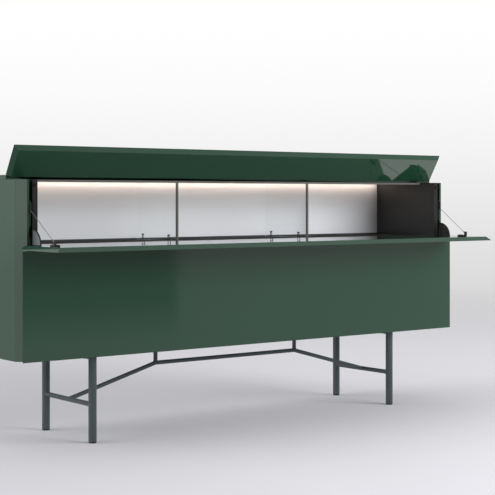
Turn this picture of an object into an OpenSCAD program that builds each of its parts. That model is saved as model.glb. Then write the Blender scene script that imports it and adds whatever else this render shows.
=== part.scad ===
// Buffet cabinet with a drop-down bar flap and a lift-up lid, on a round-tube base.
// Millimetres, +Z up, front towards -Y. Drawn open: flap level, lid raised.
// The fronts are modelled shut and turned about their hinge axes to the open pose.

/* [Body] */
// Overall width of the cabinet
body_w = 2100; // [1700:10:2400]
// Depth from the closed front to the back
body_d = 470; // [440:5:540]
// Height of the box without its base
body_h = 650; // [600:5:760]
// Height from the box's underside to the bar floor
lower_h = 404; // [360:2:440]
// Thickness of the outer side panels
side_t = 39; // [36:1:45]
// Width of the bevel on each side panel's front edge
side_bevel_w = 31; // [20:1:31]
// Depth of that bevel
side_bevel_d = 29; // [16:1:32]
// Setback of the side panels behind the closed front
side_setback = 25; // [25:1:32]
// Slot between side panel and inner side, for the flap gear
slot_w = 13; // [12.5:0.5:16]
// Thickness of the inner sides
lining_t = 20; // [18:1:25]
// Thickness of the bottom and middle panels
deck_t = 22; // [20:1:28]
// Thickness of the outer back
back_t = 18; // [12:1:20]
// Thickness of the fixed top
top_t = 16; // [16:1:22]

/* [Fronts and lid] */
// Thickness of the flap and of the lower front
front_t = 16; // [16:1:20]
// Gap between neighbouring fronts
reveal = 4; // [4:0.5:6]
// Setback of the decks behind the closed front
deck_setback = 21; // [21:1:24]
// Depth of the lid, front edge to hinge line
lid_d = 124; // [116:1:128]
// Gap between the lid's underside and the side panels' tops
lid_seat = 1; // [1:0.5:2]
// Gap on each side of the lid's hinge line
lid_gap = 1; // [1:0.25:2]
// Chamfer along both edges of the lid's hinge line
lid_chamfer = 3; // [3:0.5:4]
// Angle of the raised lid above level
lid_open = 59; // [50:1:80]
// Angle of the lowered flap from shut
flap_open = 90; // [90]

/* [Hinges] */
// Distance of the outer flap and lower front hinges from the cabinet's ends
pivot_x_outer = 300; // [250:10:350]
// Distance of the inner flap and lower front hinges from the centre
pivot_x_inner = 250; // [200:10:300]
// Width of a pivot hinge arm
arm_w = 30; // [24:1:40]
// Length of a pivot hinge arm behind its pin
arm_l = 42; // [36:1:60]
// Half thickness of a pivot hinge arm and radius of its knuckle
knuckle_r = 4; // [3.5:0.25:4.25]
// Radius of a pivot hinge pin
pin_r = 2; // [1.5:0.1:2.4]
// Distance of the outer lid hinges from the cabinet's ends
lid_hinge_x_outer = 105; // [90:5:150]
// Distance of the inner lid hinges from the centre
lid_hinge_x_inner = 312; // [260:4:400]
// Length of a lid hinge
lid_hinge_w = 50; // [40:2:70]
// Length of its fixed middle knuckle
lid_knuckle_w = 20; // [14:1:26]
// Radius of its knuckles
lid_knuckle_r = 3; // [3:0.1:3.4]
// Thickness of its leaves
leaf_t = 2; // [1.5:0.1:2]
// Radius of its pin
lid_pin_r = 1.5; // [1:0.1:1.8]

/* [Flap gear] */
// Radius of the quadrant plates' round edge
quadrant_r = 58; // [50:1:60]
// Distance of that edge's centre behind and above the flap's axis
quadrant_lead = 6; // [0:0.5:6]
// Thickness of the quadrant plates
quadrant_t = 5; // [4:0.25:5.5]
// Thickness of the housing plates that carry them
housing_t = 4.5; // [3.5:0.25:4.5]
// Height of a housing plate's body
housing_h = 40; // [30:1:50]
// Length of a housing plate's body
housing_l = 24; // [18:1:40]
// Height of the damper above the bar floor
damper_lift = 64; // [62:1:70]
// Length of the damper body
damper_l = 91; // [85:1:100]
// Depth of the damper body
damper_d = 16; // [12:1:24]
// Thickness of the damper body and head
damper_t = 6; // [5:0.25:6]
// Length of the damper head
head_l = 35; // [30:1:40]
// Depth of the damper head
head_d = 6; // [4:0.5:6]
// Height of the damper head above the body's lower end
head_lift = 49; // [40:1:50]
// Radius of the stay cable
cable_r = 1; // [0.75:0.25:1.5]
// Height of the cable's exit above the damper head's lower end
cable_exit = 5; // [4:0.5:10]
// Distance of the cable bracket's far end in front of the cabinet
bracket_reach = 145; // [130:1:160]
// Length of the bracket's foot
bracket_l = 40; // [32:1:50]
// Width of the bracket's foot
bracket_w = 19; // [12:1:24]
// Thickness of the bracket's foot
bracket_t = 6; // [4:0.5:7]
// Length of the bracket's upright
bracket_post_l = 14; // [10:1:18]
// Width of the bracket's upright
bracket_post_w = 4.5; // [3:0.25:4.75]
// Height of the bracket over the flap
bracket_h = 20; // [14:1:22]

/* [Bar compartment] */
// Distance of the post fronts behind the closed front
post_setback = 111; // [100:1:116]
// Side of the square divider posts and height of the front rail
post_t = 8; // [8:1:12]
// Depth of the front rail
rail_d = 20; // [20:1:26]
// Thickness of the glass dividers
glass_t = 8; // [6:1:9]
// Distance of the inner back's face in front of the cabinet's back
inner_back_y = 81; // [75:1:100]
// Thickness of the inner back
inner_back_t = 6; // [4:1:8]
// Start of the dark floor inlay behind the closed front
inlay_y = 107; // [80:1:109]
// Thickness of the floor inlay
inlay_t = 5; // [2:0.5:6]
// Radius of the round glass clamps
clamp_r = 4.5; // [3.5:0.5:7]
// Thickness of a clamp's cheek
clamp_t = 3; // [2:0.5:4]
// Radius of a clamp's pin
clamp_pin_r = 2.5; // [1.5:0.25:3]
// Height of the clamps over the bar floor
clamp_z = 20; // [14:1:30]
// Distance of the front clamps behind the closed front
clamp_y_front = 168; // [150:1:200]
// Distance of the rear clamps behind the closed front
clamp_y_rear = 349; // [300:1:355]

/* [Lighting] */
// Width of the light channel in the fixed top
led_w = 18; // [14:1:22]
// Depth of the light channel
led_h = 10; // [8:0.5:11]
// Distance of the channel's middle in front of the inner back
led_from_back = 18; // [14:1:30]
// Wall of the light channel
led_wall = 1.5; // [1:0.25:2]
// Thickness of the diffuser
diffuser_t = 2; // [1:0.25:2.5]
// Distance of the channel's ends from the inner sides
led_end = 12; // [6:1:40]
// Length of the power supply
supply_l = 160; // [120:5:220]
// Depth of the power supply
supply_d = 40; // [30:1:44]
// Height of the power supply
supply_h = 25; // [18:1:35]
// Distance of the light's wire from the middle
wire_x = 70; // [50:5:75]
// Radius of the light's wire
wire_r = 1.5; // [1:0.25:2]
// Radius of the cable outlet's clear bore
outlet_r = 27; // [20:1:30]
// Wall of the outlet grommet
grommet_wall = 3; // [2:0.5:4]
// Width of the grommet's flange
grommet_flange = 4; // [3:0.5:6]
// Height of the cable outlet over the bar floor
outlet_z = 70; // [60:1:120]

/* [Lower compartment] */
// Thickness of the partitions
partition_t = 18; // [16:1:22]
// Thickness of the shelves
shelf_t = 18; // [16:1:25]
// Height of the shelves' underside over the box's underside
shelf_z = 194; // [120:1:240]
// Distance of the shelves' front behind the closed front
shelf_setback = 40; // [30:1:80]
// Gap round each shelf
shelf_gap = 1.5; // [1:0.25:3]
// Distance of the shelf pins from the shelf's front edge and from the back
shelf_pin_inset = 50; // [30:5:90]
// Radius of the shelf pins
shelf_pin_r = 2.5; // [2:0.25:3.5]
// Length of the shelf pins in and out of their panel
shelf_pin_l = 8; // [6:0.5:8.5]
// Radius of the catches and buffers
catch_r = 5; // [4:0.5:6]
// Distance of the catches and flap buffers below the panel above them
catch_drop = 20; // [12:1:40]

/* [Base] */
// Height of the base, floor to box
base_h = 316; // [200:2:360]
// Distance of the legs' axes from the cabinet's ends
leg_x = 313; // [250:1:450]
// Distance of the front legs' axes behind the closed front
leg_inset_front = 57; // [50:1:80]
// Distance of the rear legs' axes in front of the cabinet's back
leg_inset_rear = 72; // [50:1:90]
// Radius of the legs
leg_r = 15; // [12:0.5:20]
// Wall of the leg tube
leg_wall = 2; // [1.5:0.25:3]
// Thickness of the closed top of a leg
leg_cap = 4; // [3:0.5:8]
// Radius of the end crossbars
crossbar_r = 9; // [7:0.5:11]
// Height of the end crossbars
crossbar_z = 138; // [100:1:150]
// Radius of the spine bars and uprights
spine_r = 8; // [6:0.5:9]
// Drop of the spine's level middle below the box
spine_drop = 72; // [40:1:90]
// Distance of the spine's bends from the centre
spine_bend_x = 350; // [250:10:450]
// Side of the square rails under the box
rail_t = 15; // [12:1:20]
// Width of the plates on top of the uprights
plate_w = 60; // [50:2:80]
// Depth of those plates
plate_d = 24; // [20:1:30]
// Thickness of those plates
plate_t = 3; // [2:0.5:5]
// Distance of a plate's screws from its ends
plate_screw_edge = 10; // [8:0.5:12]
// Height of a foot pad's sole
pad_h = 5; // [3:0.5:8]
// Height of a foot pad's plug
plug_h = 12; // [8:1:20]
// Radius of the frame screws
screw_r = 2.5; // [2:0.25:3]
// Bite of the frame screws in the bottom panel
screw_bite = 14; // [10:1:16]
// Radius of the screw heads
screw_head_r = 4.5; // [4:0.25:5.5]
// Height of the screw heads
screw_head_h = 3; // [2:0.25:4]
// Distance of the rail screws from the middle of the rail
screw_y = 110; // [60:5:140]

/* [Hidden] */
$fn = 48;
eps = 0.5;
// Clearances: fixed pin in its hole, turning pin in its bore, part in its pocket
fit_fixed = 0.02;
fit_turn = 0.05;
fit_pocket = 0.3;
buffer_gap = 0.2;
leaf_stop = 0.5;
foot_margin = 0.6;

box_z = base_h;
box_top = box_z + body_h;
top_z = box_top - top_t;
floor_z = box_z + lower_h;
deck_under_z = floor_z - deck_t;
bottom_top_z = box_z + deck_t;
back_y = body_d - back_t;
bar_back_y = body_d - inner_back_y;

// Level positions measured inwards from a side panel's outer face
slot_s = side_t;
lining_s = slot_s + slot_w;
bay_s = lining_s + lining_t;
clear_w = body_w - 2 * bay_s;
divider_x = clear_w / 6;

// Flap and lower front turn about the middle of their square lower ends
pivot_y = front_t / 2;
flap_axis_z = floor_z - front_t / 2;
flap_z = flap_axis_z - front_t / 2;
flap_top_z = box_top - reveal;
door_axis_z = box_z + front_t / 2;
door_top_z = flap_z - reveal;
flap_reach = flap_top_z - flap_axis_z - pivot_y;

lid_under_z = top_z + lid_seat;
lid_t = box_top - lid_under_z;
lid_axis_z = box_top - lid_knuckle_r;
leaf_drop = lid_t - lid_knuckle_r - leaf_stop;
knuckle_foot = lid_knuckle_r + foot_margin;

pivot_end_x = body_w / 2 - pivot_x_outer;
pivot_xs = [-pivot_end_x, -pivot_x_inner, pivot_x_inner, pivot_end_x];
lid_hinge_end_x = body_w / 2 - lid_hinge_x_outer;
lid_hinge_xs = [-lid_hinge_end_x, -lid_hinge_x_inner, lid_hinge_x_inner, lid_hinge_end_x];

// The flap's end notches take the housing and quadrant plates side by side
gear_gap = 1.5;
quadrant_s = slot_s + housing_t + gear_gap;
notch_end_s = quadrant_s + quadrant_t + fit_pocket;
housing_inset = 1;
housing_y = deck_setback + housing_inset;
end_pin_grip = 7;
pin_grip = 8;

// Cable ends: low on the damper head and near the top of the bracket
cable_s = 4;
cable_drop = 4;
damper_z = floor_z + damper_lift;
damper_proud = 1;
damper_y = side_setback - damper_proud;
head_z = damper_z + head_lift;
head_y = damper_y - head_d;
bracket_s = slot_s + damper_t + gear_gap;
cable_exit_point = [slot_s + cable_s, head_y, head_z + cable_exit];
cable_to = [bracket_s + bracket_post_w / 2, -bracket_reach + bracket_post_l,
    floor_z + bracket_h - cable_drop];
cable_run = cable_to - cable_exit_point;
cable_tilt = sqrt(1 - pow(cable_run[1] / norm(cable_run), 2));
cable_from = cable_exit_point - [0, cable_r * cable_tilt + fit_turn, 0];

led_y = bar_back_y - led_from_back;
led_x = clear_w / 2 - led_end;
strip_w = 10;
strip_t = 1;
strip_end = 5;
supply_gap = 8;
supply_y = back_y - supply_gap - supply_d / 2;
void_y = bar_back_y + inner_back_t;

// Each lower bay's level span, from one bearing panel to the next
bay_spans = [
    [-clear_w / 2, -divider_x - partition_t / 2],
    [-divider_x + partition_t / 2, divider_x - partition_t / 2],
    [divider_x + partition_t / 2, clear_w / 2]];
shelf_pin_ys = [shelf_setback + shelf_pin_inset, back_y - shelf_pin_inset];
shelf_pin_z = box_z + shelf_z - shelf_pin_r;

pad_inset = 1;
leg_axis_x = body_w / 2 - leg_x;
leg_front_y = leg_inset_front;
leg_rear_y = body_d - leg_inset_rear;
mid_y = (leg_front_y + leg_rear_y) / 2;
spine_z = box_z - spine_drop;
rail_z = box_z - rail_t;
plate_screw_x = plate_w / 2 - plate_screw_edge;
screw_points = concat(
    [for (x = [-leg_axis_x, leg_axis_x], y = [mid_y - screw_y, mid_y + screw_y]) [x, y]],
    [for (x = [-spine_bend_x, spine_bend_x], d = [-1, 1]) [x + d * plate_screw_x, mid_y]]);

// The origin lies on the floor in the middle of the open cabinet's outline
origin_y = (body_d - flap_reach) / 2;

lacquer = [0.17, 0.30, 0.22];
carcass = [0.14, 0.12, 0.11];
steel_dark = [0.24, 0.27, 0.27];
satin = [0.78, 0.79, 0.81];
black = [0.05, 0.05, 0.05];
silver = [0.70, 0.71, 0.72];

// Moves a child from the cabinet's front plane to the part's origin
module place() { translate([0, -origin_y, 0]) children(); }

// Draws a child in positions measured inwards from the left or the right side panel
module at_side(side) {
    mirror([side > 0 ? 1 : 0, 0, 0]) translate([-body_w / 2, 0, 0]) children();
}

module both_sides() { for (side = [-1, 1]) at_side(side) children(); }

// Box from its least to its greatest corner
module span(a, b) { translate(a) cube([b[0] - a[0], b[1] - a[1], b[2] - a[2]]); }

// Level rod along X, centred on its middle
module rod_x(r, l) { rotate([0, 90, 0]) cylinder(r = r, h = l, center = true); }

// Round rod from one point to another
module rod(p, q, r) {
    d = q - p;
    l = norm(d);
    translate(p) rotate([0, acos(d[2] / l), atan2(d[1], d[0])]) cylinder(r = r, h = l);
}

// Outline in Y and Z, drawn out along X and centred
module extrude_x(w) {
    translate([-w / 2, 0, 0]) rotate([90, 0, 90]) linear_extrude(height = w) children();
}

module turn_x(y, z, angle) {
    translate([0, y, z]) rotate([angle, 0, 0]) translate([0, -y, -z]) children();
}

module flap_pose() { place() turn_x(pivot_y, flap_axis_z, flap_open) children(); }
module lid_pose() { place() turn_x(lid_d, lid_axis_z, -lid_open) children(); }

// Front panel with 45 degree ends, wider at its outer face
module bevelled_ends(z0, z1) {
    translate([0, 0, z0]) linear_extrude(height = z1 - z0)
        polygon([[-body_w / 2, 0], [body_w / 2, 0],
            [body_w / 2 - front_t, front_t], [-body_w / 2 + front_t, front_t]]);
}

// Hinge pockets along a front panel's lower end, shut pose
module pivot_notches(axis_z) {
    for (x = pivot_xs) {
        span([x - arm_w / 2 - fit_pocket, pivot_y - knuckle_r - fit_pocket, axis_z - front_t / 2 - eps],
            [x + arm_w / 2 + fit_pocket, front_t + eps, axis_z + knuckle_r + fit_pocket]);
        translate([x, pivot_y, axis_z]) rod_x(pin_r + fit_fixed, arm_w + 2 * pin_grip);
    }
}

// Pockets in a deck's front edge for the hinge arms
module arm_pockets(axis_z) {
    for (x = pivot_xs)
        span([x - arm_w / 2 - fit_fixed, deck_setback - eps, axis_z - knuckle_r - fit_fixed],
            [x + arm_w / 2 + fit_fixed, pivot_y + arm_l + fit_fixed, axis_z + knuckle_r + fit_fixed]);
}

module side_panel(side) {
    color(lacquer) place() at_side(side) translate([0, 0, box_z])
        linear_extrude(height = top_z - box_z)
            polygon([[0, side_setback + side_bevel_d], [side_bevel_w, side_setback],
                [side_t, side_setback], [side_t, body_d], [0, body_d]]);
}

module inner_side(side) {
    color(carcass) place() at_side(side) difference() {
        span([lining_s, side_setback, bottom_top_z], [bay_s, back_y, top_z]);
        for (y = shelf_pin_ys)
            translate([bay_s, y, shelf_pin_z]) rod_x(shelf_pin_r + fit_fixed, 2 * shelf_pin_l);
    }
}

module bottom_panel() {
    color(lacquer) place() difference() {
        span([-body_w / 2 + side_t, deck_setback, box_z], [body_w / 2 - side_t, back_y, bottom_top_z]);
        arm_pockets(door_axis_z);
        for (p = screw_points)
            translate([p[0], p[1], box_z - eps])
                cylinder(r = screw_r + fit_fixed, h = screw_bite + eps + fit_fixed);
    }
}

module middle_panel() {
    color(lacquer) place() difference() {
        span([-clear_w / 2, deck_setback, deck_under_z], [clear_w / 2, back_y, floor_z]);
        span([-clear_w / 2 - eps, inlay_y, floor_z - inlay_t],
            [clear_w / 2 + eps, bar_back_y, floor_z + eps]);
        arm_pockets(flap_axis_z);
    }
}

module bar_floor_inlay() {
    color(black) place()
        span([-clear_w / 2, inlay_y, floor_z - inlay_t], [clear_w / 2, bar_back_y, floor_z]);
}

module back_panel() {
    color(lacquer) place() difference() {
        span([-body_w / 2 + side_t, back_y, box_z], [body_w / 2 - side_t, body_d, top_z]);
        translate([0, back_y - eps, floor_z + outlet_z]) rotate([-90, 0, 0])
            cylinder(r = outlet_r + grommet_wall + fit_fixed, h = back_t + 2 * eps);
    }
}

module bar_back_panel() {
    color(satin) place()
        span([-clear_w / 2, bar_back_y, floor_z], [clear_w / 2, void_y, top_z]);
}

module fixed_top() {
    front = lid_d + lid_gap;
    color(lacquer) place() difference() {
        extrude_x(body_w) polygon([[front, top_z], [body_d, top_z], [body_d, box_top],
            [front + lid_chamfer, box_top], [front, box_top - lid_chamfer]]);
        span([-led_x, led_y - led_w / 2, top_z - eps], [led_x, led_y + led_w / 2, top_z + led_h]);
        span([-wire_x - wire_r - fit_fixed, led_y, top_z - eps],
            [-wire_x + wire_r + fit_fixed, supply_y + wire_r + fit_fixed, top_z + 2 * wire_r + fit_fixed]);
        for (x = lid_hinge_xs)
            span([x - lid_hinge_w / 2 - fit_pocket, front - eps, lid_axis_z - leaf_drop - fit_fixed],
                [x + lid_hinge_w / 2 + fit_pocket, lid_d + lid_knuckle_r + fit_pocket, box_top + eps]);
    }
}

module front_rail() {
    color(steel_dark) place()
        span([-clear_w / 2, post_setback, top_z - post_t], [clear_w / 2, post_setback + rail_d, top_z]);
}

module divider_post(side) {
    color(steel_dark) place() translate([side * divider_x, 0, 0])
        span([-post_t / 2, post_setback, floor_z], [post_t / 2, post_setback + post_t, top_z - post_t]);
}

module divider_glass(side) {
    y0 = post_setback + post_t;
    y1 = post_setback + rail_d;
    color([0.8, 0.9, 0.9, 0.35]) place() translate([side * divider_x, 0, 0]) difference() {
        extrude_x(glass_t) polygon([[y0, floor_z], [bar_back_y, floor_z], [bar_back_y, top_z],
            [y1, top_z], [y1, top_z - post_t], [y0, top_z - post_t]]);
        for (y = [clamp_y_front, clamp_y_rear])
            translate([0, y, floor_z + clamp_z]) rod_x(clamp_pin_r + fit_fixed, glass_t + 2 * eps);
    }
}

module glass_clamps() {
    color(silver) place()
        for (side = [-1, 1], y = [clamp_y_front, clamp_y_rear]) translate([side * divider_x, y, floor_z]) {
            translate([0, 0, clamp_z]) rod_x(clamp_pin_r, glass_t + clamp_t);
            for (cheek = [-1, 1]) translate([cheek * (glass_t + clamp_t) / 2, 0, 0]) {
                translate([0, 0, clamp_z]) rod_x(clamp_r, clamp_t);
                span([-clamp_t / 2, -clamp_pin_r, 0], [clamp_t / 2, clamp_pin_r, clamp_z]);
            }
        }
}

module led_channel() {
    color(silver) place() translate([0, led_y, top_z]) difference() {
        span([-led_x, -led_w / 2, 0], [led_x, led_w / 2, led_h]);
        span([-led_x - eps, -led_w / 2 + led_wall, -eps],
            [led_x + eps, led_w / 2 - led_wall, led_h - led_wall]);
    }
}

module led_strip() {
    color([0.95, 0.9, 0.7]) place() translate([0, led_y, top_z + led_h - led_wall - strip_t])
        span([-led_x + strip_end, -strip_w / 2, 0], [led_x - strip_end, strip_w / 2, strip_t]);
}

module led_diffuser() {
    color([1, 0.9, 0.8]) place() translate([0, led_y, top_z])
        span([-led_x, -led_w / 2 + led_wall, 0], [led_x, led_w / 2 - led_wall, diffuser_t]);
}

module led_power_supply() {
    color([0.9, 0.9, 0.9]) place() translate([0, supply_y, floor_z])
        span([-supply_l / 2, -supply_d / 2, 0], [supply_l / 2, supply_d / 2, supply_h]);
}

module led_wire() {
    z = top_z + wire_r;
    color(black) place() translate([-wire_x, 0, 0]) {
        rod([0, led_y + led_w / 2, z], [0, supply_y, z], wire_r);
        translate([0, supply_y, z]) sphere(r = wire_r);
        rod([0, supply_y, floor_z + supply_h], [0, supply_y, z], wire_r);
    }
}

module cable_grommet() {
    r = outlet_r + grommet_wall;
    color(black) place() translate([0, back_y, floor_z + outlet_z]) rotate([-90, 0, 0])
        difference() {
            union() {
                cylinder(r = r, h = back_t);
                translate([0, 0, -grommet_wall]) cylinder(r = r + grommet_flange, h = grommet_wall);
            }
            translate([0, 0, -grommet_wall - eps])
                cylinder(r = outlet_r, h = back_t + grommet_wall + 2 * eps);
        }
}

module partition(side) {
    color(carcass) place() translate([side * divider_x, 0, 0]) difference() {
        span([-partition_t / 2, deck_setback, bottom_top_z], [partition_t / 2, back_y, deck_under_z]);
        for (face = [-1, 1], y = shelf_pin_ys)
            translate([face * partition_t / 2, y, shelf_pin_z])
                rod_x(shelf_pin_r + fit_fixed, 2 * shelf_pin_l);
    }
}

module shelves() {
    color(carcass) place() for (b = bay_spans)
        span([b[0] + shelf_gap, shelf_setback, box_z + shelf_z],
            [b[1] - shelf_gap, back_y - shelf_gap, box_z + shelf_z + shelf_t]);
}

module shelf_pins() {
    color(silver) place() for (b = bay_spans, x = b, y = shelf_pin_ys)
        translate([x, y, shelf_pin_z]) rod_x(shelf_pin_r, 2 * shelf_pin_l - fit_fixed);
}

module damper(side) {
    color(silver) place() at_side(side)
        span([slot_s, damper_y, damper_z], [slot_s + damper_t, damper_y + damper_d, damper_z + damper_l]);
}

module damper_head(side) {
    color(black) place() at_side(side)
        span([slot_s + fit_pocket, head_y, head_z], [slot_s + damper_t, damper_y, head_z + head_l]);
}

module flap_housings() {
    color(black) place() both_sides() difference() {
        union() {
            translate([slot_s + housing_t / 2, pivot_y, flap_axis_z]) rod_x(knuckle_r, housing_t);
            span([slot_s, pivot_y, flap_axis_z - knuckle_r],
                [slot_s + housing_t, side_setback, flap_axis_z + knuckle_r]);
            span([slot_s, housing_y, flap_axis_z - knuckle_r],
                [slot_s + housing_t, housing_y + housing_l, flap_axis_z - knuckle_r + housing_h]);
        }
        translate([slot_s, pivot_y, flap_axis_z]) rod_x(pin_r + fit_turn, 4 * housing_t);
    }
}

module hinge_arm(x, z) {
    translate([x, pivot_y, z]) difference() {
        union() {
            rod_x(knuckle_r, arm_w);
            span([-arm_w / 2, 0, -knuckle_r], [arm_w / 2, arm_l, knuckle_r]);
        }
        rod_x(pin_r + fit_turn, arm_w + 2 * eps);
    }
}

module hinge_arms() {
    color(silver) place() for (x = pivot_xs, z = [flap_axis_z, door_axis_z]) hinge_arm(x, z);
}

// One leaf of a lid hinge with the hinge axis at its origin; dir is 1 behind and -1 in front
module lid_leaf(dir, knuckles) {
    y0 = dir > 0 ? lid_gap : -lid_gap - leaf_t;
    difference() {
        union() {
            for (k = knuckles) translate([(k[0] + k[1]) / 2, 0, 0]) {
                rod_x(lid_knuckle_r, k[1] - k[0]);
                span([-(k[1] - k[0]) / 2, y0, -knuckle_foot], [(k[1] - k[0]) / 2, y0 + leaf_t, 0]);
            }
            span([-lid_hinge_w / 2, y0, -leaf_drop], [lid_hinge_w / 2, y0 + leaf_t, -knuckle_foot]);
        }
        rod_x(lid_pin_r + (dir > 0 ? fit_turn : fit_fixed), lid_hinge_w + 2 * eps);
    }
}

module lid_hinge_bases() {
    k = lid_knuckle_w / 2 - fit_pocket;
    color(silver) place() for (x = lid_hinge_xs)
        translate([x, lid_d, lid_axis_z]) lid_leaf(1, [[-k, k]]);
}

module buffers() {
    color(black) place() both_sides() {
        translate([side_t / 2 + catch_r, lid_d / 2, top_z]) cylinder(r = catch_r, h = lid_seat - buffer_gap);
        translate([bay_s - lining_t / 2, front_t + fit_pocket, top_z - catch_drop]) rotate([-90, 0, 0])
            cylinder(r = catch_r, h = side_setback - front_t - fit_pocket);
    }
}

module door_catches() {
    z = deck_under_z - catch_drop;
    color(black) place() {
        both_sides() translate([bay_s - lining_t / 2, front_t + fit_pocket, z]) rotate([-90, 0, 0])
            cylinder(r = catch_r, h = side_setback - front_t - fit_pocket);
        for (side = [-1, 1]) translate([side * divider_x, front_t + fit_pocket, z]) rotate([-90, 0, 0])
            cylinder(r = catch_r, h = deck_setback - front_t - fit_pocket);
    }
}

module leg(side, y) {
    color(steel_dark) place() translate([side * leg_axis_x, y, pad_h]) difference() {
        cylinder(r = leg_r, h = box_z - pad_h);
        translate([0, 0, -eps]) cylinder(r = leg_r - leg_wall, h = box_z - pad_h - leg_cap + eps);
    }
}

// What the crossbars and rails are trimmed to where they meet the legs
module leg_solids(side) {
    for (y = [leg_front_y, leg_rear_y])
        translate([side * leg_axis_x, y, 0]) cylinder(r = leg_r, h = box_z + eps);
}

module top_rail(side) {
    color(steel_dark) place() difference() {
        translate([side * leg_axis_x, 0, 0])
            span([-rail_t / 2, leg_front_y, rail_z], [rail_t / 2, leg_rear_y, box_z]);
        leg_solids(side);
        for (d = [-1, 1]) translate([side * leg_axis_x, mid_y + d * screw_y, rail_z - eps])
            cylinder(r = screw_r + fit_pocket, h = rail_t + 2 * eps);
    }
}

module crossbar_solid(side) {
    x = side * leg_axis_x;
    rod([x, leg_front_y, crossbar_z], [x, leg_rear_y, crossbar_z], crossbar_r);
}

module crossbar(side) {
    color(steel_dark) place() difference() {
        crossbar_solid(side);
        leg_solids(side);
    }
}

module spine_slope(side) {
    bend = [side * spine_bend_x, mid_y, spine_z];
    color(steel_dark) place() difference() {
        rod([side * leg_axis_x, mid_y, crossbar_z], bend, spine_r);
        crossbar_solid(side);
        mirror([side > 0 ? 1 : 0, 0, 0])
            span([-spine_bend_x, mid_y - 2 * spine_r, spine_z - 4 * spine_r],
                [-spine_bend_x + 4 * spine_r, mid_y + 2 * spine_r, spine_z + 4 * spine_r]);
    }
}

module spine_center() {
    color(steel_dark) place() translate([0, mid_y, spine_z]) rod_x(spine_r, 2 * spine_bend_x);
}

module uprights() {
    color(steel_dark) place() for (side = [-1, 1]) difference() {
        translate([side * spine_bend_x, mid_y, 0]) union() {
            translate([0, 0, spine_z]) cylinder(r = spine_r, h = spine_drop - plate_t);
            span([-plate_w / 2, -plate_d / 2, box_z - plate_t], [plate_w / 2, plate_d / 2, box_z]);
        }
        translate([0, mid_y, spine_z]) rod_x(spine_r, 2 * spine_bend_x);
        rod([side * leg_axis_x, mid_y, crossbar_z], [side * spine_bend_x, mid_y, spine_z], spine_r);
        for (d = [-1, 1]) translate([side * spine_bend_x + d * plate_screw_x, mid_y, box_z - plate_t - eps])
            cylinder(r = screw_r + fit_pocket, h = plate_t + 2 * eps);
    }
}

module foot_pads() {
    color(black) place() for (x = [-leg_axis_x, leg_axis_x], y = [leg_front_y, leg_rear_y])
        translate([x, y, 0]) {
            cylinder(r = leg_r - pad_inset, h = pad_h);
            cylinder(r = leg_r - leg_wall - fit_fixed, h = pad_h + plug_h);
        }
}

module frame_screws() {
    color(silver) place() for (p = screw_points) {
        seat = abs(p[0]) == leg_axis_x ? rail_t : plate_t;
        translate([p[0], p[1], box_z - seat]) {
            cylinder(r = screw_r, h = seat + screw_bite);
            translate([0, 0, -screw_head_h]) cylinder(r = screw_head_r, h = screw_head_h);
        }
    }
}

module bar_flap() {
    color(lacquer) flap_pose() difference() {
        intersection() {
            bevelled_ends(flap_z, flap_top_z);
            extrude_x(body_w) polygon([[0, flap_z], [front_t, flap_z],
                [front_t, flap_top_z - front_t], [0, flap_top_z]]);
        }
        pivot_notches(flap_axis_z);
        both_sides() {
            span([slot_s - fit_pocket, pivot_y - knuckle_r - fit_pocket, flap_z - eps],
                [notch_end_s, front_t + eps, flap_axis_z + knuckle_r + fit_pocket]);
            translate([(slot_s + notch_end_s) / 2, pivot_y, flap_axis_z])
                rod_x(pin_r + fit_fixed, notch_end_s - slot_s + 2 * end_pin_grip);
        }
    }
}

// Quarter disc that stands on the flap's inner face, with a lug down to the pin, drawn open
module flap_quadrants() {
    color(black) place() both_sides()
        translate([quadrant_s + quadrant_t / 2, pivot_y, flap_axis_z]) difference() {
            extrude_x(quadrant_t) {
                intersection() {
                    translate([quadrant_lead, quadrant_lead]) circle(r = quadrant_r, $fn = 96);
                    translate([-quadrant_r, front_t / 2]) square([quadrant_r + quadrant_lead, quadrant_r]);
                }
                circle(r = knuckle_r);
                translate([-knuckle_r, 0]) square([2 * knuckle_r, front_t / 2]);
            }
            rod_x(pin_r + fit_fixed, quadrant_t + 2 * eps);
        }
}

module cable_brackets() {
    color(black) place() both_sides() translate([bracket_s, -bracket_reach, floor_z]) {
        cube([bracket_w, bracket_l, bracket_t]);
        cube([bracket_post_w, bracket_post_l, bracket_h]);
    }
}

module flap_pins() {
    color(silver) place() {
        for (x = pivot_xs) translate([x, pivot_y, flap_axis_z]) rod_x(pin_r, arm_w + 2 * pin_grip);
        both_sides() translate([(slot_s + notch_end_s) / 2, pivot_y, flap_axis_z])
            rod_x(pin_r, notch_end_s - slot_s + 2 * end_pin_grip);
    }
}

module stay_cable(side) {
    color(silver) place() at_side(side) rod(cable_from, cable_to, cable_r);
}

module lid() {
    back = lid_d - lid_gap;
    color(lacquer) lid_pose() difference() {
        intersection() {
            extrude_x(body_w) polygon([[0, box_top], [back - lid_chamfer, box_top],
                [back, box_top - lid_chamfer], [back, lid_under_z], [lid_t, lid_under_z]]);
            rotate([90, 0, 0]) translate([0, 0, -lid_d]) linear_extrude(height = lid_d)
                polygon([[-body_w / 2, box_top], [body_w / 2, box_top],
                    [body_w / 2 - lid_t, lid_under_z], [-body_w / 2 + lid_t, lid_under_z]]);
        }
        for (x = lid_hinge_xs)
            span([x - lid_hinge_w / 2 - fit_pocket, lid_d - lid_knuckle_r - fit_fixed, lid_under_z - eps],
                [x + lid_hinge_w / 2 + fit_pocket, lid_d, box_top + eps]);
    }
}

module lid_hinge_leaves() {
    k = lid_knuckle_w / 2;
    w = lid_hinge_w / 2;
    color(silver) lid_pose() for (x = lid_hinge_xs)
        translate([x, lid_d, lid_axis_z]) lid_leaf(-1, [[-w, -k], [k, w]]);
}

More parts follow.
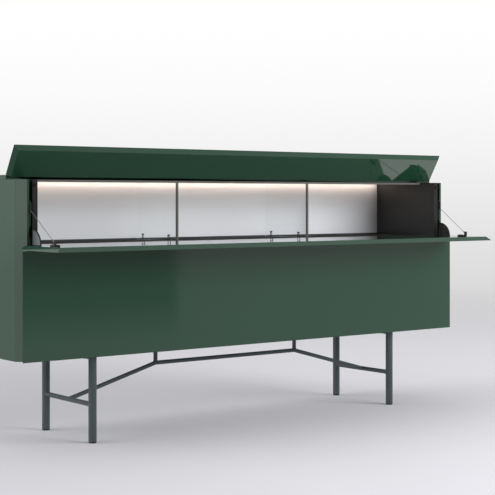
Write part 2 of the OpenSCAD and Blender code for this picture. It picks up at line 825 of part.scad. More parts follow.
module lid_hinge_pins() {
    color(silver) lid_pose() for (x = lid_hinge_xs)
        translate([x, lid_d, lid_axis_z]) rod_x(lid_pin_r, lid_hinge_w);
}

module lower_front() {
    color(lacquer) place() difference() {
        bevelled_ends(box_z, door_top_z);
        pivot_notches(door_axis_z);
    }
}

module lower_front_pins() {
    color(silver) place()
        for (x = pivot_xs) translate([x, pivot_y, door_axis_z]) rod_x(pin_r, arm_w + 2 * pin_grip);
}

side_panel(-1);  // side_left
side_panel(1);  // side_right
inner_side(-1);  // inner_side_left
inner_side(1);  // inner_side_right
bottom_panel();
middle_panel();
bar_floor_inlay();
back_panel();
bar_back_panel();
fixed_top();
front_rail();
divider_post(-1);  // divider_post_left
divider_post(1);  // divider_post_right
divider_glass(-1);  // divider_glass_left
divider_glass(1);  // divider_glass_right
glass_clamps();
led_channel();
led_strip();
led_diffuser();
led_power_supply();
led_wire();
cable_grommet();
partition(-1);  // partition_left
partition(1);  // partition_right
shelves();
shelf_pins();
damper(-1);  // damper_left
damper(1);  // damper_right
damper_head(-1);  // damper_head_left
damper_head(1);  // damper_head_right
flap_housings();
hinge_arms();
lid_hinge_bases();
buffers();
door_catches();
leg(-1, leg_front_y);  // leg_front_left
leg(1, leg_front_y);  // leg_front_right
leg(-1, leg_rear_y);  // leg_rear_left
leg(1, leg_rear_y);  // leg_rear_right
top_rail(-1);  // top_rail_left
top_rail(1);  // top_rail_right
crossbar(-1);  // crossbar_left
crossbar(1);  // crossbar_right
spine_slope(-1);  // spine_left
spine_center();
spine_slope(1);  // spine_right
uprights();
foot_pads();
frame_screws();
bar_flap();
flap_quadrants();
cable_brackets();
flap_pins();
stay_cable(-1);  // cable_left
stay_cable(1);  // cable_right
lid();
lid_hinge_leaves();
lid_hinge_pins();
lower_front();
lower_front_pins();
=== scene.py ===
"""Looks of the buffet cabinet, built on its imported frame. Laid out as a Blender add-on and run as a script.

Metres, +Z up, the cabinet's front towards -Y. Each piece has its place in its mesh, in the frame's axes.
"""

import math

import bmesh
import bpy
import numpy as np
from bpy.props import FloatProperty
from bpy.props import FloatVectorProperty
from bpy.props import PointerProperty
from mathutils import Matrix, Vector


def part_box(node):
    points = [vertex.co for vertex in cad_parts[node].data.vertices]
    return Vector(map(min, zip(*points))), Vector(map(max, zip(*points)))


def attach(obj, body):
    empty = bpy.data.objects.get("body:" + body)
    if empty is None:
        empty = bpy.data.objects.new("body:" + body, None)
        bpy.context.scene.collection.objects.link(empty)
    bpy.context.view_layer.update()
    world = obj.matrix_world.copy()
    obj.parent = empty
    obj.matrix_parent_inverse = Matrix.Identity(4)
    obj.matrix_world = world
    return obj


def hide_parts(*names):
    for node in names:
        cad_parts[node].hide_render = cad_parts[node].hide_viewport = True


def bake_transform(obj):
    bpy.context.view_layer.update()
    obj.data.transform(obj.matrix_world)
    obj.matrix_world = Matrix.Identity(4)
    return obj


bl_info = {
    "name": "Buffet cabinet looks",
    "version": (1, 0, 0),
    "blender": (4, 5, 0),
    "location": "View3D > Sidebar > Buffet cabinet",
    "description": "Finishes a buffet cabinet with a bar flap, a raised lid and a round-tube base",
    "category": "Object",
}

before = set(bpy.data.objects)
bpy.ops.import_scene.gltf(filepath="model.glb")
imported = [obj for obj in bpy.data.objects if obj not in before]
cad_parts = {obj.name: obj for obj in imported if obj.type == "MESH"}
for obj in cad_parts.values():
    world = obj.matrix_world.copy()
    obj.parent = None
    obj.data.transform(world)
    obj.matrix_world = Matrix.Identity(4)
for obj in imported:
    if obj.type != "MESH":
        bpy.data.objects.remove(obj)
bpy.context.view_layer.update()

MM = 0.001
CABINET = "cabinet"
FLAP = "flap"
LID = "lid"
LOWER_FRONT = "lower_front"
ENDS = ("left", "right")
# Points of one node that are closer than this are one point
SAME_POINT = 0.002 * MM
# Turns between two faces, in degrees: they are one face up to the first, their edge is eased past the
# second, and it is shaded hard past the third
ONE_FACE = 0.5
EASED_FROM = 25
HARD_FROM = 35
# Top of the bar's green floor, which is also the upper face of the level flap
BAR_FLOOR = float(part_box("middle_panel")[1][2])
# Radius of the flap's quadrant plates
QUADRANT = 58 * MM


def linear(code):
    """Linear red, green, blue and alpha of an sRGB hex colour, each channel taken through the sRGB curve."""
    channels = np.array([int(code[i : i + 2], 16) for i in (1, 3, 5)]) / 255
    low = channels / 12.92
    high = ((channels + 0.055) / 1.055) ** 2.4
    return tuple(float(v) for v in np.where(channels <= 0.04045, low, high)) + (1.0,)


# Sizes and colours that a user would change


def colour_of(name, description, code):
    """A colour that a user picks, with its default as an sRGB hex colour."""
    return FloatVectorProperty(
        name=name,
        description=description,
        subtype="COLOR",
        size=4,
        min=0,
        max=1,
        default=linear(code),
    )


class LacquerProperties(bpy.types.PropertyGroup):
    """Finish of the lacquered panels."""

    colour: colour_of("Colour", "Body colour of the lacquer", "#1B3B2B")
    roughness: FloatProperty(
        name="Roughness",
        description="Blur of the lacquer's reflections",
        subtype="FACTOR",
        min=0.02,
        max=1,
        default=0.05,
    )
    arris: FloatProperty(
        name="Arris",
        description="Radius of the eased edges",
        unit="LENGTH",
        min=0.2 * MM,
        max=2 * MM,
        default=0.8 * MM,
    )


class InteriorProperties(bpy.types.PropertyGroup):
    """Finish of the boards and of the bar compartment."""

    board: colour_of("Boards", "Colour of the dark inner boards", "#181615")
    back: colour_of("Back", "Colour of the satin mirror at the back of the bar", "#EBEEF3")
    inlay: colour_of("Inlay", "Colour of the leather on the bar's floor", "#17181A")
    arris: FloatProperty(
        name="Board arris",
        description="Radius of the boards' eased edges",
        unit="LENGTH",
        min=0.2 * MM,
        max=2 * MM,
        default=0.5 * MM,
    )


class LightProperties(bpy.types.PropertyGroup):
    """Light strip over the inner back."""

    colour: colour_of("Colour", "Colour of the light behind the diffuser", "#FFE7D4")
    strength: FloatProperty(
        name="Strength",
        description="Brightness of the diffuser, where 1 is white",
        min=0,
        max=100,
        default=9.4,
    )


class BaseProperties(bpy.types.PropertyGroup):
    """Round-tube base."""

    colour: colour_of("Colour", "Colour of the powder coat", "#3F494B")
    weld: FloatProperty(
        name="Weld",
        description="Height of the weld fillets where tubes meet",
        unit="LENGTH",
        min=0.2 * MM,
        max=3 * MM,
        default=1.5 * MM,
    )


class StageProperties(bpy.types.PropertyGroup):
    """Camera, floor and light round the cabinet."""

    floor: colour_of("Floor", "Colour of the floor", "#D3D2D7")
    sky: FloatProperty(
        name="Sky",
        description="Strength of the even light from all round",
        min=0,
        max=2,
        default=0.4,
    )
    key: FloatProperty(
        name="Key",
        description="Radiance of the soft box over the front",
        min=0,
        max=20,
        default=11.5,
    )


# Nodes and materials: a pattern's scale is 1 over its width in metres, so 330 is a pattern 3 mm wide


def add(tree, kind, inputs=(), **settings):
    """Adds one node: settings go to its attributes, inputs to its sockets in order, by name or by number.

    An input is a plain value, a socket to link from, or a node, linked from its first output in use.
    """
    made = tree.nodes.new(f"ShaderNode{kind}")
    for name, value in settings.items():
        setattr(made, name, value)
    inputs = inputs.items() if isinstance(inputs, dict) else enumerate(inputs)
    for name, value in inputs:
        if isinstance(value, bpy.types.Node):
            value = next(output for output in value.outputs if output.enabled)
        if isinstance(value, bpy.types.NodeSocket):
            tree.links.new(value, made.inputs[name])
        else:
            made.inputs[name].default_value = value
    return made


def begin(name):
    """A material with an empty tree, and its object coordinates, which are the frame's metres."""
    material = bpy.data.materials.new(name)
    material.use_nodes = True
    tree = material.node_tree
    tree.nodes.clear()
    return material, tree, add(tree, "TexCoord").outputs["Object"]


def shade(material, inputs):
    """Ends a material's tree with its principled shader."""
    shader = add(material.node_tree, "BsdfPrincipled", inputs)
    add(material.node_tree, "OutputMaterial", {"Surface": shader})
    return material


def scaled(colour, factor):
    """The same colour, brighter or darker by a factor."""
    return tuple(c * factor for c in colour[:3]) + (1.0,)


def polished_lacquer():
    """Polyester lacquer on MDF, sprayed and polished: mirror-like, with a trace of orange peel 3 mm wide."""
    props = bpy.context.scene.buffet_lacquer
    material, tree, place = begin("polyester_lacquer_polished")
    cloud = add(tree, "TexNoise", {"Vector": place, "Scale": 9.0, "Detail": 2.0})
    shades = {0: cloud, 6: scaled(props.colour, 0.96), 7: scaled(props.colour, 1.04)}
    tone = add(tree, "Mix", shades, data_type="RGBA")
    haze = add(tree, "MapRange", (cloud, 0.0, 1.0, 0.8 * props.roughness, 1.3 * props.roughness))
    peel = add(tree, "TexNoise", {"Vector": place, "Scale": 330.0, "Detail": 1.0})
    bump = add(tree, "Bump", {"Height": peel, "Strength": 1.0, "Distance": 0.003 * MM})
    return shade(material, {"Base Color": tone, "Roughness": haze, "IOR": 1.6, "Normal": bump})


def oak_melamine():
    """Dark oak-pattern melamine on chipboard, embossed: grain 1.5 mm apart that runs from front to back."""
    props = bpy.context.scene.buffet_interior
    material, tree, place = begin("oak_melamine_embossed")
    drawn = add(tree, "Mapping", {"Vector": place, "Scale": (650.0, 14.0, 650.0)})
    grain = add(tree, "TexNoise", {"Vector": drawn, "Scale": 1.0, "Detail": 3.0})
    broad = add(tree, "Mapping", {"Vector": place, "Scale": (45.0, 3.0, 45.0)})
    bands = add(tree, "TexNoise", {"Vector": broad, "Scale": 1.0, "Detail": 2.0})
    share = add(tree, "Math", (grain, bands), operation="MULTIPLY")
    shades = {0: share, 6: scaled(props.board, 0.45), 7: scaled(props.board, 2.1)}
    tone = add(tree, "Mix", shades, data_type="RGBA")
    bump = add(tree, "Bump", {"Height": grain, "Strength": 0.6, "Distance": 0.06 * MM})
    return shade(material, {"Base Color": tone, "Roughness": 0.42, "Normal": bump})


def inlay_leather():
    """Embossed bonded leather, matt: pebbles 1.6 mm across, with painted shade that darkens their valleys."""
    props = bpy.context.scene.buffet_interior
    material, tree, place = begin("bonded_leather_embossed")
    pebble = add(tree, "TexVoronoi", {"Vector": place, "Scale": 620.0}, feature="SMOOTH_F1")
    # Painted shade: the colour darkens towards each pebble's edge, in the valleys that the bump below sinks.
    shades = {0: pebble, 6: scaled(props.inlay, 1.5), 7: scaled(props.inlay, 0.6)}
    tone = add(tree, "Mix", shades, data_type="RGBA")
    bump = add(tree, "Bump", {"Height": pebble, "Strength": 0.8, "Distance": 0.25 * MM}, invert=True)
    matt = {"Roughness": 0.85, "Specular IOR Level": 0.2}
    return shade(material, {"Base Color": tone, "Normal": bump, **matt})


def satin_mirror():
    """Acid-etched mirror glass: a soft metallic sheen under a clear, sharp glass surface."""
    props = bpy.context.scene.buffet_interior
    material, tree, place = begin("mirror_glass_etched")
    cloud = add(tree, "TexNoise", {"Vector": place, "Scale": 5.0, "Detail": 1.0})
    tone = add(tree, "Mix", {0: cloud, 6: scaled(props.back, 0.985), 7: props.back[:]}, data_type="RGBA")
    frost = add(tree, "TexNoise", {"Vector": place, "Scale": 1500.0, "Detail": 1.0})
    bump = add(tree, "Bump", {"Height": frost, "Strength": 0.2, "Distance": 0.02 * MM})
    sheen = {"Metallic": 0.12, "Roughness": 0.4, "Coat Weight": 0.6, "Coat Roughness": 0.03}
    return shade(material, {"Base Color": tone, "Normal": bump, **sheen})


def float_glass():
    """Clear float glass with polished edges: faint green, seen most at its edges.

    Shadow, diffuse and glossy rays go straight through, so it casts no shadow and shows in no reflection.
    """
    material, tree, place = begin("float_glass_polished")
    wave = add(tree, "TexNoise", {"Vector": place, "Scale": 6.0, "Detail": 0.0})
    tone = add(tree, "Mix", {0: wave, 6: linear("#FAFDFC"), 7: linear("#FCFEFD")}, data_type="RGBA")
    inputs = {"Base Color": tone, "Roughness": 0.0, "IOR": 1.46, "Transmission Weight": 1.0}
    body = add(tree, "BsdfPrincipled", inputs)
    clear = add(tree, "BsdfTransparent")
    path = add(tree, "LightPath").outputs
    matt = add(tree, "Math", (path["Is Shadow Ray"], path["Is Diffuse Ray"]), operation="MAXIMUM")
    unseen = add(tree, "Math", (matt, path["Is Glossy Ray"]), operation="MAXIMUM")
    add(tree, "OutputMaterial", {"Surface": add(tree, "MixShader", (unseen, body, clear))})
    return material


def powder_coat(name, colour):
    """Fine-texture powder coat on steel: satin, with a grain 0.8 mm wide drawn a little coarser to show."""
    material, tree, place = begin(name)
    grit = add(tree, "TexNoise", {"Vector": place, "Scale": 1200.0, "Detail": 2.0})
    cloud = add(tree, "TexNoise", {"Vector": place, "Scale": 22.0, "Detail": 2.0})
    tone = add(tree, "Mix", {0: cloud, 6: scaled(colour, 0.9), 7: scaled(colour, 1.1)}, data_type="RGBA")
    bump = add(tree, "Bump", {"Height": grit, "Strength": 0.35, "Distance": 0.08 * MM})
    return shade(material, {"Base Color": tone, "Roughness": 0.5, "Normal": bump})


def metal(name, colour, roughness, drawn, depth=0.02 * MM):
    """A bare metal with fine lines from brushing or drawing: noise stretched by its scale on each axis."""
    material, tree, place = begin(name)
    lines = add(tree, "Mapping", {"Vector": place, "Scale": drawn})
    noise = add(tree, "TexNoise", {"Vector": lines, "Scale": 1.0, "Detail": 2.0})
    tone = add(tree, "Mix", {0: noise, 6: scaled(colour, 0.9), 7: scaled(colour, 1.05)}, data_type="RGBA")
    rough = add(tree, "MapRange", (noise, 0.0, 1.0, 0.85 * roughness, 1.2 * roughness))
    bump = add(tree, "Bump", {"Height": noise, "Strength": 0.4, "Distance": depth})
    return shade(material, {"Base Color": tone, "Metallic": 1.0, "Roughness": rough, "Normal": bump})


def moulded(name, colour, roughness, grain, depth):
    """A moulded plastic or rubber: spark-eroded grain of the given width in metres, dull and even."""
    material, tree, place = begin(name)
    pits = add(tree, "TexNoise", {"Vector": place, "Scale": 1 / grain, "Detail": 2.0})
    tone = add(tree, "Mix", {0: pits, 6: scaled(colour, 0.85), 7: scaled(colour, 1.15)}, data_type="RGBA")
    bump = add(tree, "Bump", {"Height": pits, "Strength": 0.4, "Distance": depth})
    return shade(material, {"Base Color": tone, "Roughness": roughness, "Normal": bump})


def opal_diffuser():
    """Opal acrylic, extruded and lit from behind: warm light, a little brighter every 16 mm along it."""
    props = bpy.context.scene.buffet_light
    material, tree, place = begin("opal_acrylic_lit")
    rows = add(tree, "TexWave", {"Vector": place, "Scale": 19.0}, bands_direction="X").outputs["Fac"]
    glow = add(tree, "Mix", {0: rows, 6: scaled(props.colour, 0.94), 7: props.colour[:]}, data_type="RGBA")
    light = {"Emission Color": glow, "Emission Strength": props.strength}
    return shade(material, {"Base Color": linear("#EFE8DC"), "Roughness": 0.35, **light})


def lamp_strip():
    """White flexible circuit board with a row of small lamps 8.3 mm apart."""
    material, tree, place = begin("flexible_circuit_white")
    along = add(tree, "SeparateXYZ", (place,)).outputs[0]
    pitch = add(tree, "Math", (along, 120.0), operation="MULTIPLY")
    part = add(tree, "Math", (pitch,), operation="FRACT")
    lamp = add(tree, "Math", (part, 0.4), operation="LESS_THAN")
    tone = add(tree, "Mix", {0: lamp, 6: linear("#E9E8E2"), 7: linear("#F0D27A")}, data_type="RGBA")
    return shade(material, {"Base Color": tone, "Roughness": 0.5})


def make_finishes():
    """Every finish of the cabinet, by name."""
    short = (500.0, 500.0, 60.0)
    return {
        "lacquer": polished_lacquer(),
        "board": oak_melamine(),
        "leather": inlay_leather(),
        "mirror": satin_mirror(),
        "glass": float_glass(),
        "coat": powder_coat("powder_coat_fine_texture", bpy.context.scene.buffet_base.colour[:]),
        "profile": powder_coat("powder_coat_grey", linear("#585A59")),
        # Cold-rolled steel, tumbled, and steel with a black oxide finish: short soft lines
        "steel": metal("cold_rolled_steel_tumbled", linear("#A9A9A7"), 0.33, short),
        "dark_steel": metal("steel_black_oxide", linear("#37393A"), 0.36, short),
        # Aluminium extrusion, natural anodised: long lines from the die, upright or from left to right
        "aluminium": metal("aluminium_extruded_anodised", linear("#9A9FA1"), 0.3, (700.0, 700.0, 12.0)),
        "channel": metal("aluminium_channel_anodised", linear("#C4C6C8"), 0.35, (12.0, 700.0, 700.0)),
        # Stainless steel, drawn to fine wire: bright, with hardly a mark
        "rope": metal("stainless_wire_drawn", linear("#8F9092"), 0.28, (300.0, 300.0, 300.0), 0.01 * MM),
        # Polyamide, rubber, ABS and soft PVC: the rubber is the dullest, the polyamide has the most sheen
        "black": moulded("polyamide_moulded_black", linear("#131313"), 0.38, 0.7 * MM, 0.02 * MM),
        "rubber": moulded("rubber_moulded_black", linear("#161616"), 0.7, 0.5 * MM, 0.03 * MM),
        "white": moulded("abs_moulded_white", linear("#DEDDD8"), 0.45, 0.6 * MM, 0.02 * MM),
        "pvc": moulded("pvc_insulation_black", linear("#1A1A1B"), 0.4, 0.4 * MM, 0.01 * MM),
        "diffuser": opal_diffuser(),
        "strip": lamp_strip(),
    }


# The finishes by name, which main makes once the properties are there
FINISHES = {}

# Surfaces worked out as arrays


def circle(steps):
    """Angles at even steps round a circle."""
    return np.linspace(0, 2 * math.pi, steps, endpoint=False)


def spokes(angle, u, v):
    """Unit steps outwards at each angle, counted from u towards v: cosine times u plus sine times v."""
    return np.cos(angle)[:, None] * u + np.sin(angle)[:, None] * v


def ring_part(rings, looped=False):
    """Faces between neighbouring rings of points, and on both end rings unless the rings loop."""
    rings = np.asarray(rings, float)
    count, around = rings.shape[:2]
    index = np.arange(count * around).reshape(count, around)
    near = index if looped else index[:-1]
    far = np.roll(index, -1, axis=0) if looped else index[1:]
    quads = np.stack([near, np.roll(near, -1, axis=1), np.roll(far, -1, axis=1), far], axis=-1)
    faces = quads.reshape(-1, 4).tolist()
    if not looped:
        faces += [index[0].tolist(), index[-1].tolist()]
    return rings.reshape(-1, 3), faces


def axes_of(direction):
    """Two directions square to a given one and to each other, and that one with length 1."""
    w = np.array(direction, float)
    w /= np.linalg.norm(w)
    aside = np.array([0.0, 1.0, 0.0]) if abs(w[1]) < 0.9 else np.array([1.0, 0.0, 0.0])
    u = np.cross(aside, w)
    u /= np.linalg.norm(u)
    return u, np.cross(w, u), w


def turned(profile, centre, direction, around=48, flats=()):
    """A profile of radius and height carried round an axis; rows in flats are drawn in to a hexagon."""
    u, v, w = axes_of(direction)
    radius, height = np.array(profile, float).T
    angle = circle(around)
    sixth = math.pi / 3
    shape = np.ones((len(radius), around))
    shape[list(flats)] = math.cos(sixth / 2) / np.cos((angle + sixth / 2) % sixth - sixth / 2)
    outward = (radius[:, None] * shape)[..., None] * spokes(angle, u, v)
    return ring_part(np.array(centre, float) + height[:, None, None] * w + outward)


def rounded_block(low, high, corner, edge, axis=2):
    """A rectangle with round corners carried along an axis, drawn in by a quarter circle at both ends."""
    low, high = np.array(low, float), np.array(high, float)
    a, b = [k for k in range(3) if k != axis]
    middle, half = (low + high) / 2, (high - low) / 2
    quarter = np.radians(np.linspace(0, 90, 5))
    inset = edge * (1 - np.sin(quarter))
    lift = edge * (1 - np.cos(quarter))
    inset = np.concatenate([inset, inset[::-1]])[:, None]
    along = np.concatenate([low[axis] + lift, (high[axis] - lift)[::-1]])
    angle = (quarter + np.radians([0, 90, 180, 270])[:, None]).ravel()
    sign_a = np.repeat([1, -1, -1, 1], len(quarter))
    sign_b = np.repeat([1, 1, -1, -1], len(quarter))
    radius = np.maximum(corner - inset, 0.02 * MM)
    rings = np.zeros((len(inset), len(angle), 3))
    rings[..., a] = middle[a] + sign_a * (half[a] - inset - radius) + radius * np.cos(angle)
    rings[..., b] = middle[b] + sign_b * (half[b] - inset - radius) + radius * np.sin(angle)
    rings[..., axis] = along[:, None]
    return ring_part(rings)


def square_end(offset):
    """Trim that leaves an end square to its line."""
    return np.zeros(len(offset))


def onto_tube(axis, reach, direction):
    """Trim onto a round tube, whose axis passes through the line's end and whose radius is the reach.

    Seen along the tube, a point that moves along the line meets the tube where the squares of its ways ahead
    and to the side of the axis add up to the square of the radius.
    """
    axis = np.array(axis, float)
    w = np.array(direction, float) / np.linalg.norm(direction)

    def trim(offset):
        aside = offset - (offset @ axis)[:, None] * axis
        across = w - (w @ axis) * axis
        size = np.linalg.norm(across)
        ahead = aside @ across / size
        square = np.maximum((aside**2).sum(axis=1) - ahead**2, 0)
        return (np.sqrt(np.maximum(reach**2 - square, 0)) - ahead) / size

    return trim


def onto_plane(normal, direction):
    """Trim onto a plane through the line's end: a point moves along the line until it lies in the plane."""
    normal = np.array(normal, float)
    w = np.array(direction, float) / np.linalg.norm(direction)
    return lambda offset: -(offset @ normal) / (w @ normal)


def trimmed_tube(start, end, radius, trim_start=square_end, trim_end=square_end, weld=0.0, around=48):
    """Points round the line from start to end, begun and ended where a trim says, and widened by a weld.

    A trim takes each point's offset from the line and gives how far along the line it lies from that end.
    A weld falls from its height to nothing with the square of the share that is left of its run.
    """
    start, end = np.array(start, float), np.array(end, float)
    weld_run = 3 * MM
    shares = (0.0, 0.15, 0.4, 0.7, 1.0) if weld else (0.0,)
    u, v, w = axes_of(end - start)
    length = np.linalg.norm(end - start)
    outward = spokes(circle(around), u, v)
    first, last = [], []
    for share in shares:
        offset = outward * (radius + weld * (1 - share) ** 2)
        first.append(start + offset + (trim_start(offset) + share * weld_run)[:, None] * w)
        last.append(start + offset + (length - trim_end(offset) - share * weld_run)[:, None] * w)
    return ring_part(np.array(first + last[::-1]))


def place_piece(name, mesh, finish, body, stands_for):
    """Puts a mesh in the scene, with its shading, its finish, the body it rides on and what it replaces."""
    mesh.shade_smooth()
    mesh.set_sharp_from_angle(angle=math.radians(HARD_FROM))
    mesh.materials.append(FINISHES[finish])
    piece = bpy.data.objects.new(name, mesh)
    bpy.context.scene.collection.objects.link(piece)
    if body:
        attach(piece, body)
    if stands_for:
        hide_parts(*stands_for)
    return piece


def make_piece(name, parts, finish, stands_for=(), body=CABINET):
    """One object from parts, each its points and faces, with its faces turned outwards."""
    points, faces, start = [], [], 0
    for part_points, part_faces in parts:
        points.append(part_points)
        faces += [[i + start for i in face] for face in part_faces]
        start += len(part_points)
    mesh = bpy.data.meshes.new(name)
    mesh.from_pydata(np.concatenate(points), [], faces)
    work = bmesh.new()
    work.from_mesh(mesh)
    bmesh.ops.recalc_face_normals(work, faces=work.faces)
    work.to_mesh(mesh)
    work.free()
    return place_piece(name, mesh, finish, body, stands_for)


def eased_copy(node, name, width, finish, body=CABINET, shortest=6 * MM):
    """A merged copy of a node whose long outer edges are eased to a small round.

    The largest face at each corner sets its normal, so that a mirror-like face stays flat to its edges.
    """
    mesh = bpy.data.meshes.new(name)
    work = bmesh.new()
    work.from_mesh(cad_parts[node].data)
    bmesh.ops.remove_doubles(work, verts=work.verts, dist=SAME_POINT)
    bmesh.ops.dissolve_limit(work, angle_limit=math.radians(ONE_FACE), verts=work.verts, edges=work.edges)
    outer = [
        edge
        for edge in work.edges
        if edge.is_manifold
        and edge.is_convex
        and edge.calc_length() > shortest
        and edge.calc_face_angle() > math.radians(EASED_FROM)
    ]
    bmesh.ops.bevel(
        work,
        geom=outer,
        offset=width,
        offset_type="OFFSET",
        segments=3,
        profile=0.5,
        affect="EDGES",
        clamp_overlap=False,
    )
    work.to_mesh(mesh)
    work.free()
    piece = place_piece(name, mesh, finish, body, [node])
    weigh = piece.modifiers.new("face_normals", "WEIGHTED_NORMAL")
    weigh.mode = "FACE_AREA"
    weigh.weight = 100
    weigh.keep_sharp = True


def dress(node, finish):
    """Gives a node's own mesh its finish."""
    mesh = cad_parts[node].data
    mesh.materials.clear()
    mesh.materials.append(FINISHES[finish])


def box_of(node):
    """Lowest and highest corner of a node, as arrays."""
    low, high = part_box(node)
    return np.array(low), np.array(high)


def middle_of(node):
    """Middle of a node's box."""
    return sum(box_of(node)) / 2


def radius_of(node, axis=0):
    """Half of a round node's width along an axis square to its own."""
    low, high = box_of(node)
    return (high[axis] - low[axis]) / 2


def shells_of(node):
    """Lowest and highest corner of each separate solid of a node, from left to right and front to back."""
    work = bmesh.new()
    work.from_mesh(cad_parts[node].data)
    bmesh.ops.remove_doubles(work, verts=work.verts, dist=SAME_POINT)
    left = set(work.verts)
    boxes = []
    while left:
        todo = [left.pop()]
        shell = list(todo)
        while todo:
            for edge in todo.pop().link_edges:
                for vertex in edge.verts:
                    if vertex in left:
                        left.remove(vertex)
                        todo.append(vertex)
                        shell.append(vertex)
        points = np.array([v.co for v in shell])
        boxes.append((points.min(axis=0), points.max(axis=0)))
    work.free()
    return sorted(boxes, key=lambda box: tuple(box[0].round(4)))


def rod_ends(node):
    """Middles of a straight rod's ends, the rear one first, from its points at either end of its length."""
    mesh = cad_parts[node].data
    points = np.zeros(len(mesh.vertices) * 3)
    mesh.vertices.foreach_get("co", points)
    points = points.reshape(-1, 3)
    centred = points - points.mean(axis=0)
    along = centred @ np.linalg.svd(centred, full_matrices=False)[2][0]
    near = 0.1 * MM
    ends = [points[along < along.min() + near], points[along > along.max() - near]]
    return sorted((end.mean(axis=0) for end in ends), key=lambda end: -end[1])


def screw_head(centre, direction, radius):
    """A low round head with a hexagon recess, standing on centre, from a profile in shares of its radius."""
    profile = [(1, 0), (1, 0.25), (0.93, 0.42), (0.75, 0.55), (0.52, 0.6), (0.48, 0.58), (0.46, 0.15)]
    return turned(radius * np.array(profile), centre, direction, 36, flats=(4, 5, 6))


# Camera, surroundings, floor and lamp

# The photo's camera, from its vanishing points, in metres and degrees, with lens and sensor in mm
CAMERA_PLACE = (-3.261, -4.238, 0.888)
CAMERA_TURN = 37.7
CAMERA_LENS = 97.7
CAMERA_SENSOR = 36.0
PHOTO_SIDE = 495
HORIZON_ROW = 197
CAMERA_SHIFT = (HORIZON_ROW - PHOTO_SIDE / 2) / PHOTO_SIDE
# The background that the camera sees: heights between which it fades, its shares of white there, and the
# least share
BACKDROP_HEIGHTS = (-0.2, 0.14)
BACKDROP_SHARE = (0.55, 1.0)
BACKDROP_LEAST = 0.64
# The room as reflections show it. A level of 1 is white, and two levels are those low and higher up.
# Angles are degrees from straight out of the front, positive towards +X, and the lamp's heights are degrees
# above the horizon. The other heights and BEHIND_FROM are the Z and the Y of a direction of length 1.
BRIGHT_FROM = 34.7
BRIGHT_LEVEL = 0.61
DIM_HEIGHTS = (0.0, 0.3)
DIM_LEVEL = (0.27, 0.5)
BEHIND_FROM = (0.2, 0.4)
BEHIND_LEVEL = (0.52, 0.69)
WINDOW_ANGLES = (-74.0, -40.0)
WINDOW_LEVEL = (1.18, 1.5)
ROOM_FOOT = (-0.06, -0.01)
LAMP_ANGLES = (46.0, 68.0)
LAMP_HEIGHTS = (36.0, 52.0)
LAMP_LEVEL = 2.6
# The even light, in shares of its strength: from the horizon to straight up, and a soft patch at the left
SKY_LEVEL = (0.5, 1.9)
LEFT_LIGHT = (-0.95, 0.31, 0.0)
LEFT_SPREAD = (0.6, 1.0)
LEFT_LEVEL = 11.7
# The floor as reflections show it: places in metres, and levels from far to near or from left to right
BEHIND_FLOOR = (-0.2, 0.6)
FAR_FLOOR = (-5.6, -2.9)
FAR_FLOOR_LEVEL = (0.27, 0.6)
BRIGHT_FLOOR_FROM = -0.4
BRIGHT_FLOOR_LEVEL = 0.62
NEAR_FLOOR_FROM = -1.7
NEAR_BRIGHT_FROM = 1.4
NEAR_FLOOR_LEVEL = (0.35, 1.5)
LEFT_FLOOR = (-3.2, -2.8)
# The floor's rings, and where the camera sees it fade into the background
FLOOR_RINGS = (0.2, 1.0, 2.0, 3.5, 5.0, 7.0, 9.0)
FADE = (3.0, 8.5)
# The soft box in front and to the right
SOFT_BOX_SIZE = (3.9, 2.1)
SOFT_BOX_PLACE = (2.9, -4.6, 2.3)
SOFT_BOX_AIM = (0.1, 0.0, 0.5)
WHITE = (1.0, 1.0, 1.0, 1.0)


def band(tree, value, first, last):
    """One between two angles in degrees and nothing beyond them, with edges 6 degrees wide."""
    soft, first, last = math.radians(3), math.radians(first), math.radians(last)
    opened = add(tree, "MapRange", (value, first - soft, first + soft))
    closed = add(tree, "MapRange", (value, last - soft, last + soft, 1.0, 0.0))
    return add(tree, "Math", (opened, closed), operation="MULTIPLY")


